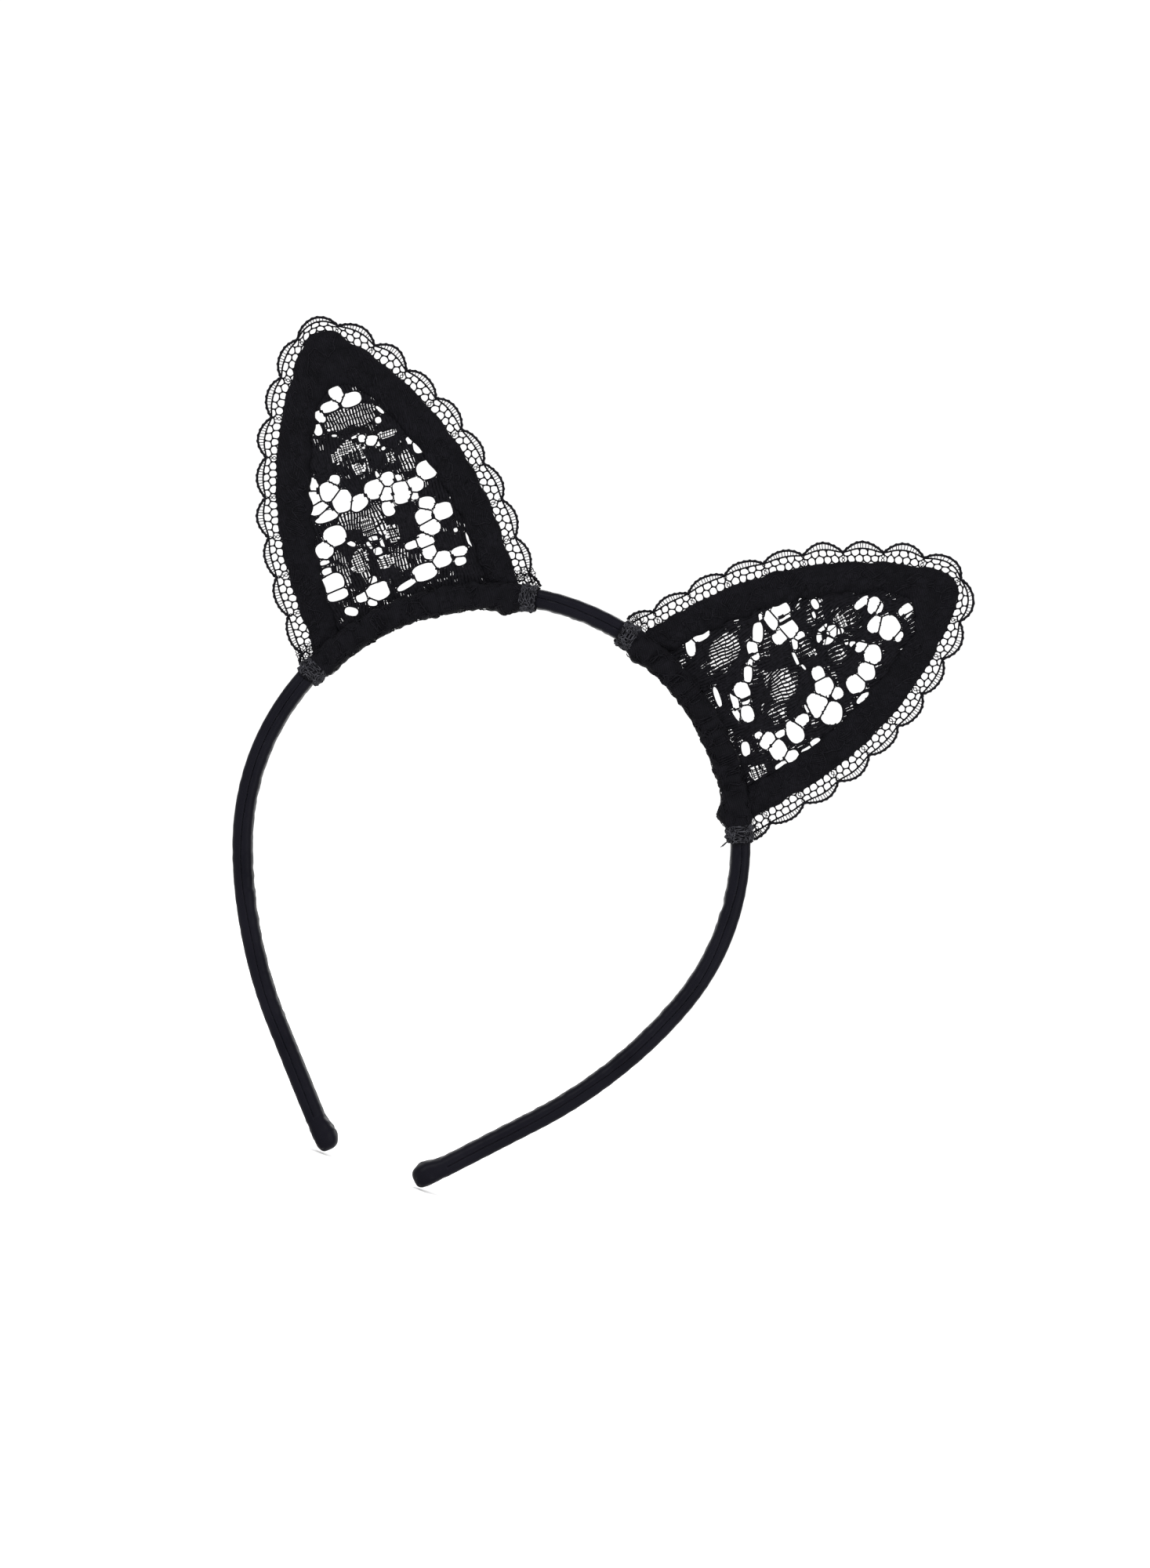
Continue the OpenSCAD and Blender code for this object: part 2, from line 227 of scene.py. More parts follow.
def ripple(seed, wave, count=5):
    """A smooth irregular ripple along one distance, within about -1 to 1."""
    dice = random.Random(seed)
    terms = [(2 * math.pi / (wave * dice.uniform(0.6, 1.8)), dice.uniform(0, 6.28)) for _ in range(count)]
    return lambda s: sum(np.sin(k * np.asarray(s) + p) for k, p in terms) / math.sqrt(count * 1.3)


def ripple2(seed, wave_a, wave_b, count=7):
    """A smooth irregular ripple over two distances, within about -1 to 1."""
    dice = random.Random(seed)
    terms = [
        (2 * math.pi * dice.uniform(0.6, 1.5) / wave_a * dice.choice((-1, 1)),
         2 * math.pi * dice.uniform(0.6, 1.5) / wave_b, dice.uniform(0, 6.28))
        for _ in range(count)
    ]
    return lambda a, b: sum(np.sin(k * a + m * b + p) for k, m, p in terms) / math.sqrt(count * 1.3)


def squared(wave, power):
    """A sine or cosine with its sign kept and its size raised to a power, for rounded-square sections."""
    return np.sign(wave) * np.abs(wave) ** power


def make_piece(name, points, faces, slot, *materials, face_material=None):
    """One smooth mesh piece from points in mm, riding on the band. faces are arrays of equal-sided faces."""
    mesh = bpy.data.meshes.new(name)
    sides = np.concatenate([np.full(len(f), f.shape[1]) for f in faces])
    corners = np.concatenate([f.ravel() for f in faces])
    mesh.vertices.add(len(points))
    mesh.vertices.foreach_set("co", (np.asarray(points) * MM).astype(np.float32).ravel())
    mesh.loops.add(len(corners))
    mesh.loops.foreach_set("vertex_index", corners.astype(np.int32))
    mesh.polygons.add(len(sides))
    mesh.polygons.foreach_set("loop_start", (np.cumsum(sides) - sides).astype(np.int32))
    mesh.update(calc_edges=True)
    mesh.polygons.foreach_set("use_smooth", [True] * len(sides))
    for material in materials:
        mesh.materials.append(material)
    if face_material is not None:
        mesh.polygons.foreach_set("material_index", np.asarray(face_material, np.int32))
    mesh.validate()
    mesh.update()
    piece = bpy.data.objects.new(name, mesh)
    bpy.context.scene.collection.objects.link(piece)
    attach(piece, "root")
    return piece


def lofted(rings, closed=False):
    """Points and faces of rings of equal length, each ring a closed loop. Open lofts get end caps."""
    rings = np.asarray(rings)
    count, around = rings.shape[:2]
    i, j = np.meshgrid(np.arange(count if closed else count - 1), np.arange(around), indexing="ij")
    i, j = i.ravel(), j.ravel()
    following, beside = (i + 1) % count, (j + 1) % around
    faces = [np.stack(
        [i * around + j, following * around + j, following * around + beside, i * around + beside], 1)]
    if not closed:
        last = (count - 1) * around
        faces.append(np.stack([np.arange(around), np.arange(last + around - 1, last - 1, -1)]))
    return rings.reshape(-1, 3), faces


def make_covered(name, points, faces, threads, slot, cloth, thread):
    """A cloth and the threads laid on it as one piece, each with its own material."""
    more, more_faces = threads.finish()
    kinds = [0] * sum(map(len, faces)) + [1] * sum(map(len, more_faces))
    faces = faces + [f + len(points) for f in more_faces]
    return make_piece(name, np.concatenate([points, more]), faces, slot, cloth, thread, face_material=kinds)


class Threads:
    """Collects round or flattened threads as closed tubes of one mesh, mapped by place() at the end."""

    def __init__(self, place=None, sides=5):
        self.place, self.sides = place or (lambda points: points), sides
        self.points, self.faces, self.count = [], [], 0

    def add(self, path, radius, flat=1.0, up=(0, 1, 0), closed=False):
        """One thread along path, in local mm. flat is its thickness over its width."""
        path = np.asarray(path, float)
        if len(path) < 2:
            return
        if closed:
            tangent = np.roll(path, -1, 0) - np.roll(path, 1, 0)
        else:
            tangent = np.gradient(path, axis=0)
        tangent /= np.maximum(np.linalg.norm(tangent, axis=1, keepdims=True), 1e-9)
        side = np.cross(tangent, np.asarray(up, float))
        side /= np.maximum(np.linalg.norm(side, axis=1, keepdims=True), 1e-9)
        lift = np.cross(side, tangent)
        radius = np.broadcast_to(radius, len(path))[:, None, None]
        turn = (np.arange(self.sides) * 2 * math.pi / self.sides)[None, :, None]
        spokes = np.cos(turn) * side[:, None] + flat * np.sin(turn) * lift[:, None]
        points, faces = lofted(path[:, None] + radius * spokes, closed)
        self.points.append(points)
        self.faces += [f + self.count for f in faces]
        self.count += len(points)

    def finish(self):
        return self.place(np.concatenate(self.points)), self.faces


def spaced(path, step):
    """The same line with points at an even spacing."""
    path = np.asarray(path, float)
    run = np.concatenate([[0], np.cumsum(np.linalg.norm(np.diff(path, axis=0), axis=1))])
    count = max(2, int(round(run[-1] / step)) + 1)
    at = np.linspace(0, run[-1], count)
    return np.stack([np.interp(at, run, path[:, k]) for k in range(path.shape[1])], 1)


def inside(points, outline):
    """True for each 2D point inside a closed outline."""
    x, y = points[:, :1], points[:, 1:2]
    x0, y0 = outline[:, 0], outline[:, 1]
    x1, y1 = np.roll(x0, -1), np.roll(y0, -1)
    rise = np.where(y1 == y0, 1e-9, y1 - y0)
    crossed = ((y0 > y) != (y1 > y)) & (x < x0 + (y - y0) * (x1 - x0) / rise)
    return crossed.sum(1) % 2 == 1


def runs(path, keep):
    """The stretches of a line whose points are kept."""
    kept, start = [], None
    for i, good in enumerate(list(keep) + [False]):
        if good and start is None:
            start = i
        if not good and start is not None:
            if i - start > 1:
                kept.append(path[start:i])
            start = None
    return kept


# ---------- band ----------


def band_line(s):
    """Middle line of the band at distance s from the crown's top, and its outward direction."""
    s = np.asarray(s, float)
    run, hand = np.abs(s), np.where(s < 0, -1, 1)
    crown_end = math.radians(90 + CROWN_DROP)
    crown_len, side_len = CROWN_R * crown_end, SIDE_R * math.radians(TIP_LEAN - CROWN_DROP)
    turn = np.where(run < crown_len, run / CROWN_R,
                    np.minimum(crown_end + (run - crown_len) / SIDE_R, math.radians(90 + TIP_LEAN)))
    drop = math.radians(CROWN_DROP)
    side_x, side_z = (CROWN_R - SIDE_R) * math.cos(drop), CROWN_Z - (CROWN_R - SIDE_R) * math.sin(drop)
    normal = np.stack([np.sin(turn), np.cos(turn)], -1)
    on_crown = run < crown_len
    radius = np.where(on_crown, CROWN_R, SIDE_R)[..., None]
    centre = np.where(on_crown[..., None], [0, CROWN_Z], [side_x, side_z])
    beyond = np.maximum(0, run - crown_len - side_len)[..., None]
    along = np.stack([np.cos(turn), -np.sin(turn)], -1)
    point = centre + radius * normal + beyond * along
    mirror = np.stack([hand, np.ones_like(run)], -1)
    return point * mirror, normal * mirror


HALF_RUN = (CROWN_R * math.radians(90 + CROWN_DROP)
            + SIDE_R * math.radians(TIP_LEAN - CROWN_DROP) + TIP_RUN)


def on_band(s, out, y):
    """Points at distance s along the band, out from its middle line and at depth y."""
    point, normal = band_line(s)
    s, out, y = np.broadcast_arrays(s, out, y)
    flat = point + out[..., None] * normal
    return np.stack([flat[..., 0], y, flat[..., 1]], -1)


def corner_arc(centre, radius, start, end, count):
    turn = np.radians(np.linspace(start, end, count))
    return [(centre[0] + radius * math.cos(a), centre[1] + radius * math.sin(a)) for a in turn]


def ribbon_section(edge):
    """Outline (out, y) of a ribbon round half the band. Its rounded edges end at out = edge."""
    half_w, half_t, r, t = BAND_W / 2, BAND_T / 2, BAND_ROUND, SATIN_T
    flat_w, crown, near = half_w - r, 0.12, edge + 0.12
    outer = [(near, -half_w)] + corner_arc((half_t - r, -flat_w), r, -90, 0, 7)
    outer += [(half_t + crown * (1 - (y / flat_w) ** 2), y) for y in np.linspace(-flat_w, flat_w, 11)[1:-1]]
    outer += corner_arc((half_t - r, flat_w), r, 0, 90, 7) + [(near, half_w)]
    inner = [(max(near, o - t if o > half_t - r else o), y * (half_w - t) / half_w)
             for o, y in reversed(outer)]
    lip = [(edge + 0.02, half_w - 0.08), (edge, half_w - t / 2), (edge + 0.02, half_w - t + 0.08)]
    other_lip = [(o, -y) for o, y in reversed(lip)]
    section = np.array(outer + lip + inner + other_lip)
    step = np.abs(section - np.roll(section, 1, axis=0)).max(1)
    return section[step > SAME_POINT]


def make_ribbon(name, hand, node, material):
    """A satin ribbon glued over the outer face (hand 1) or the inner face (hand -1) of the core."""
    end = HALF_RUN - FOLD_RUN + 1.0
    s = np.linspace(-end, end, 760)
    section = ribbon_section(0.03)
    out, y = section[:, 0] * hand, section[:, 1]
    if hand < 0:
        out, y = out[::-1], y[::-1]
    grid_s, grid_out = np.meshgrid(s, out, indexing="ij")
    grid_y = np.broadcast_to(y, grid_out.shape).copy()
    skin = (np.abs(grid_y) > BAND_W / 2 - 0.3) | (np.abs(grid_out) > BAND_T / 2 - 0.5)
    near_edge = np.clip(1 - np.abs(grid_out) / 2.2, 0, 1)
    slow, fold, tension = ripple(hand + 5, 46), ripple2(hand + 9, 6.5, 60), ripple2(hand + 13, 3.2, 8)
    if hand > 0:
        push = 0.04 * slow(grid_s) + 0.03 * tension(grid_s, grid_y)
        edge_push = 0.05 * fold(grid_s, grid_y) * near_edge
    else:
        gather = ripple2(31, 5.2, 40)(grid_s, grid_y) + 0.5 * ripple2(32, 2.4, 30)(grid_s, grid_y)
        push = 0.11 * gather * (0.55 + 0.45 * slow(grid_s)) + 0.03 * tension(grid_s, grid_y)
        edge_push = 0.10 * gather * near_edge
    grid_out = grid_out + hand * skin * push * np.clip(np.abs(grid_out) / 1.2, 0, 1)
    grid_y = grid_y + np.sign(grid_y) * skin * edge_push
    wander = 0.22 * ripple(77, 38)(grid_s)
    grid_out = grid_out + wander * np.clip(1 - np.abs(grid_out) / 1.4, 0, 1)
    points, faces = lofted(on_band(grid_s, grid_out, grid_y))
    piece = make_piece(name, points, faces, "satin", material)
    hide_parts(node)
    return piece


def make_tip_fold(side, material):
    """The ribbon's end folded round one tip: a soft cap with pleats, thicker on the inner face."""
    hand = SIDES[side]
    start, cap, round_power = HALF_RUN - FOLD_RUN, 3.6, 0.62
    half_w = BAND_W / 2 + 0.05
    turns = np.linspace(0, 2 * math.pi, 72, endpoint=False)
    pleat, lump = ripple2(41 + hand, 3.0, 5.5), ripple2(51 + hand, 7, 9)

    def ring(s, shrink):
        grown = np.clip((s - start) / (FOLD_RUN - cap), 0, 1)
        grown = grown * grown * (3 - 2 * grown)
        half_t_out, half_t_in = BAND_T / 2 + 0.1, BAND_T / 2 + 0.1 + (FOLD_T - 0.1) * grown
        out = squared(np.cos(turns), round_power)
        y = squared(np.sin(turns), round_power) * half_w * shrink
        out = np.where(out > 0, out * half_t_out, out * half_t_in) * shrink
        gone = 1 + 0.025 * pleat(s, y + 2 * out) * shrink + 0.03 * lump(s, y)
        return out * gone, y * (1 + 0.015 * pleat(s + 9, out))

    rings = []
    for step, shrink in [(0.0, 0.97), (0.12, 0.995), (0.4, 1.0)]:
        rings.append((start + step, *ring(start + step, shrink)))
    for step in np.linspace(0.9, FOLD_RUN - cap, 14):
        rings.append((start + step, *ring(start + step, 1 + 0.012 * math.sin(step * 1.1 + hand))))
    for turn in np.radians(np.linspace(12, 89.8, 13)):
        step = FOLD_RUN - cap + cap * math.sin(turn)
        rings.append((start + step, *ring(start + step, math.cos(turn) ** round_power)))
    core_t, core_w = BAND_T / 2 - SATIN_T + 0.05, BAND_W / 2 - SATIN_T + 0.05
    out, y = squared(np.cos(turns), 0.45) * core_t, squared(np.sin(turns), 0.45) * core_w
    hollow = [(start + step, out, y) for step in np.linspace(FOLD_RUN - 1.3, 0.2, 8)]
    grids = [on_band(hand * s, out, y) for s, out, y in rings]
    inner = [on_band(hand * s, out, y) for s, out, y in hollow]
    if hand > 0:
        grids, inner = [g[::-1] for g in grids], [g[::-1] for g in inner]
    points, faces = lofted(np.array(grids + inner))
    # The cap and the hollow each get an end face, and the two open rims are joined
    around = len(turns)
    at = (len(grids) - 1) * around
    quads, turn = faces[0], np.arange(around)
    quads = quads[(quads[:, 0] < at) | (quads[:, 0] >= at + around)]
    ends = np.stack([at + turn[::-1], at + around + turn])
    rim = len(points) - around + turn
    joint = np.stack([turn, rim, np.roll(rim, -1), np.roll(turn, -1)], 1)
    piece = make_piece(f"{side}_ribbon_end", points, [quads, ends, joint], "satin", material)
    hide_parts(f"{side}_tip_fold")


# ---------- ear frame ----------


def crown_in_ear(hand):
    """The crown's centre in an ear's own frame, x outwards and height up its axis."""
    turn = math.radians(EAR_SEAT[hand] - EAR_LEAN[hand])
    return -EAR_BASE_R * math.sin(turn), -EAR_BASE_R * math.cos(turn)


def corner_turn(hand, side):
    """Angle round the crown, from the vertical, of an ear's inner (-1) or outer (1) corner."""
    return EAR_LEAN[hand] + math.degrees(math.asin((side * EAR_HALF_W - crown_in_ear(hand)[0]) / CROWN_R))


def ear_place(hand):
    """Maps points (x to the viewer's right, depth y, height h up the ear's axis) into the row frame."""
    seat, lean = math.radians(EAR_SEAT[hand]), math.radians(EAR_LEAN[hand])
    base_x, base_z = EAR_BASE_R * math.sin(seat), CROWN_Z + EAR_BASE_R * math.cos(seat)
    cos, sin = math.cos(lean), math.sin(lean)

    def place(points):
        x, y, h = points[:, 0], points[:, 1], points[:, 2]
        return np.stack([hand * base_x + x * cos + hand * h * sin, y, base_z - hand * x * sin + h * cos], 1)

    return place


def crown_distance(x, h, hand):
    """Distance of an ear-frame point from the crown's centre, x to the viewer's right."""
    crown_x, crown_h = crown_in_ear(hand)
    return np.hypot(hand * x - crown_x, h - crown_h)


class Arch:
    """Outline with straight feet, curved sides and a round top, walked from the top by distance."""

    def __init__(self, half_w, spring_h, arc_r, top_r):
        self.half_w, self.spring_h, self.arc_r, self.top_r = half_w, spring_h, arc_r, top_r
        self.centre_x = arc_r - half_w
        self.top_h = spring_h + math.sqrt((arc_r - top_r) ** 2 - self.centre_x ** 2)
        self.top_turn = math.atan2(self.centre_x, self.top_h - spring_h)
        self.top_len = top_r * self.top_turn
        self.side_len = arc_r * (math.pi / 2 - self.top_turn)

    def at(self, along, grow=0.0):
        """Point (x, h) at a distance from the top, positive to the right, grown outwards."""
        along = np.asarray(along, float)
        s, hand = np.abs(along), np.where(along < 0, -1, 1)
        on_top = s < self.top_len
        turn = np.where(on_top, s / self.top_r,
                        np.minimum(math.pi / 2, self.top_turn + (s - self.top_len) / self.arc_r))
        r = np.where(on_top, self.top_r, self.arc_r) + grow
        x = np.where(on_top, 0, -self.centre_x) + r * np.sin(turn)
        h = np.where(on_top, self.top_h, self.spring_h) + r * np.cos(turn)
        drop = np.maximum(0, s - self.top_len - self.side_len)
        return np.stack([hand * x, h - drop], -1)

    def foot(self, hand, ear_hand, radius):
        """Distance from the top to where one leg reaches a radius round the crown's centre."""
        x = hand * self.half_w
        crown_x, crown_h = crown_in_ear(ear_hand)
        h = crown_h + math.sqrt(radius ** 2 - (ear_hand * x - crown_x) ** 2)
        return self.top_len + self.side_len + self.spring_h - h


EAR = {hand: Arch(EAR_HALF_W, EAR_SPRING_H[hand], EAR_SIDE_R, EAR_TIP_R) for hand in (-1, 1)}
WINDOW = Arch(WINDOW_HALF_W, WINDOW_SPRING_H, WINDOW_SIDE_R, WINDOW_TIP_R)


class Border:
    """The padded border of one ear, as a surface over distance u (-1 to 1) and across t (0 outside)."""

    def __init__(self, hand, seed):
        self.hand = hand
        foot_r = WRAP_OUT_R - 0.3
        self.outer = [EAR[hand].foot(k, hand, foot_r) for k in (-1, 1)]
        self.inner = [WINDOW.foot(k, hand, foot_r) for k in (-1, 1)]
        self.outer_wave, self.inner_wave = ripple(seed, 7.5), ripple(seed + 1, 5.5)
        self.pucker, self.lump = ripple2(seed + 2, 3.4, 9), ripple2(seed + 3, 11, 8)
        self.crease = ripple2(seed + 4, 7, 2.6)

    def flat(self, u, t):
        """Point (x, h) in the plane of the ear."""
        u, t = np.broadcast_arrays(np.asarray(u, float), np.asarray(t, float))
        outer_s = u * np.where(u < 0, self.outer[0], self.outer[1])
        inner_s = u * np.where(u < 0, self.inner[0], self.inner[1])
        outside = EAR[self.hand].at(outer_s, 0.22 * self.outer_wave(outer_s) - 0.1)
        inside_ = WINDOW.at(inner_s, 0.35 * self.inner_wave(inner_s))
        return outside + (inside_ - outside) * t[..., None]

    def relief(self, u, t):
        """Height of the puckers, lumps and creases, in mm."""
        run = u * BORDER_LEG
        width = 8.0 + 4.5 * np.exp(-((u / 0.12) ** 2))
        pucker = self.pucker(run, t * width) * (0.35 + 0.65 * np.abs(2 * t - 1))
        return 0.11 * pucker + 0.10 * self.lump(run, t * width) + 0.07 * self.crease(run, t * width)

    def surface(self, u, t, face, lift=0.0):
        """Points on the front (face -1) or back (face 1)."""
        across = np.clip(np.abs(2 * t - 1), 0, 1)
        height = (EAR_T / 2 - 0.15) * (1 - across ** BORDER_POWER) ** (1 / BORDER_POWER)
        y = face * (height + self.relief(u + 3 * face, t) * np.clip(height, 0, 1) + lift)
        flat = self.flat(u, t)
        return np.stack([flat[..., 0], np.broadcast_to(y, flat[..., 0].shape), flat[..., 1]], -1)


def make_border(side, border, material, lace):
    """The border: cloth over felt, crowned and puckered, with black lace sewn over it."""
    hand = SIDES[side]
    turn = np.linspace(0, 2 * math.pi, 56, endpoint=False)
    t = 0.5 - 0.5 * squared(np.cos(turn), 2 / BORDER_POWER)
    face = np.where(np.sin(turn) < 0, 1.0, -1.0)
    u = np.linspace(-1, 1, 330)
    grid_u, grid_t = np.meshgrid(u, t, indexing="ij")
    points = border.surface(grid_u, grid_t, np.broadcast_to(face, grid_u.shape))
    points, faces = lofted(points[:, ::-1])
    threads = Threads(ear_place(hand))
    cover_border(threads, border, seed=61 + hand)
    points = ear_place(hand)(points)
    piece = make_covered(f"{side}_ear_border", points, faces, threads, "border_lace", material, lace)
    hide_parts(f"{side}_ear_binding", f"{side}_ear_front_pad", f"{side}_ear_back_pad")


# ---------- lace patterns ----------


def honeycomb(x0, x1, y0, y1, pitch, dice, jitter=0.0):
    """Walls of a net of six-sided cells over a rectangle, as pairs of points."""
    rise = pitch / math.sqrt(3)
    moved = {}

    def corner(col, row, top):
        key = (col, row, top)
        if key not in moved:
            moved[key] = (dice.uniform(-jitter, jitter), dice.uniform(-jitter, jitter))
        x = x0 + (col + 0.5 * (row % 2)) * pitch
        y = y0 + row * 1.5 * rise + (0.5 if top else -0.5) * rise
        return x + moved[key][0], y + moved[key][1]

    walls = []
    for row in range(int((y1 - y0) / (1.5 * rise)) + 2):
        for col in range(int((x1 - x0) / pitch) + 2):
            walls.append((corner(col, row, False), corner(col, row, True)))
            for beside in (0, 1) if row % 2 else (-1, 0):
                walls.append((corner(col, row, True), corner(col + beside, row + 1, False)))
    return walls


def leaf_outline(middle, half_l, half_w, tilt, lobes, depth, count=60):
    """A rounded leaf or petal with a scalloped edge."""
    turn = np.linspace(0, 2 * math.pi, count, endpoint=False)
    grow = 1 + depth * np.abs(np.sin(lobes * turn / 2 + 0.7)) - depth / 2
    x, y = half_l * np.cos(turn) * grow, half_w * np.sin(turn) * grow
    cos, sin = math.cos(tilt), math.sin(tilt)
    return np.stack([middle[0] + x * cos - y * sin, middle[1] + x * sin + y * cos], 1)


def hatch_lines(outline, pitch, tilt, dice, jitter=0.1):
    """Parallel lines that fill an outline, clipped to it."""
    cos, sin = math.cos(tilt), math.sin(tilt)
    back = np.array([[cos, sin], [-sin, cos]])
    turned = outline @ back.T
    low, high = turned.min(0), turned.max(0)
    lines, across = [], low[1] + pitch * 0.6
    while across < high[1] - pitch * 0.3:
        cuts = []
        level = across + dice.uniform(-jitter, jitter)
        for (x0, y0), (x1, y1) in zip(turned, np.roll(turned, -1, 0)):
            if (y0 > level) != (y1 > level):
                cuts.append(x0 + (level - y0) * (x1 - x0) / (y1 - y0))
        cuts.sort()
        for a, b in zip(cuts[::2], cuts[1::2]):
            if b - a > 0.6:
                lines.append(np.array([(a, level), (b, level)]) @ back)
        across += pitch
    return lines


def lace_cover(lay, length, width, dice, cell, leaf_step):
    """Low net, crumpled leaf edges and hatching over length by width, each line drawn by lay()."""
    for a, b in honeycomb(-length / 2, length / 2, 0, width, cell, dice, 0.2 * cell):
        lay(spaced([a, b], 0.8), 0.02, 0.11)
    at = -length / 2 + 2
    while at < length / 2 - 2:
        leaf_len, leaf_w = dice.uniform(3.5, 8), dice.uniform(2.5, 5)
        middle, tilt = (at + leaf_len / 2, dice.uniform(0.1, 0.9) * width), dice.uniform(-1.2, 1.2)
        outline = leaf_outline(middle, leaf_len / 2, leaf_w / 2, tilt, dice.choice((3, 4, 5)), 0.3)
        outline += 0.3 * np.sin(outline[:, ::-1] * dice.uniform(1.6, 2.4) + dice.uniform(0, 6))
        first = dice.randrange(len(outline))
        edge = np.roll(outline, first, axis=0)[:dice.randrange(30, 52)]
        lay(spaced(edge, 0.45), 0.11, 0.19)
        for line in hatch_lines(outline, 0.62, tilt + 1.2, dice, 0.12):
            if dice.random() < 0.6:
                lay(spaced(line, 0.7), 0.05, 0.15)
        at += leaf_len * leaf_step * dice.uniform(0.6, 1.2)


def cover_border(threads, border, seed):
    """Lace sewn over the border, front and back."""
    length, width = 170, 9.0
    for face in (-1, 1):

        def lay(path, lift, radius, face=face):
            keep = (np.abs(path[:, 0]) < length / 2 - 0.5) & (path[:, 1] > 0.4) & (path[:, 1] < width - 0.4)
            for run in runs(path, keep):
                u, t = run[:, 0] / (length / 2), run[:, 1] / width
                low = border.surface(u, t, face, lift)
                threads.add(low, radius, 0.7, up=border.surface(u, t, face, lift + 0.2) - low)

        lace_cover(lay, length, width, random.Random(seed + face), 2.3, 0.95)


# ---------- ear lace ----------

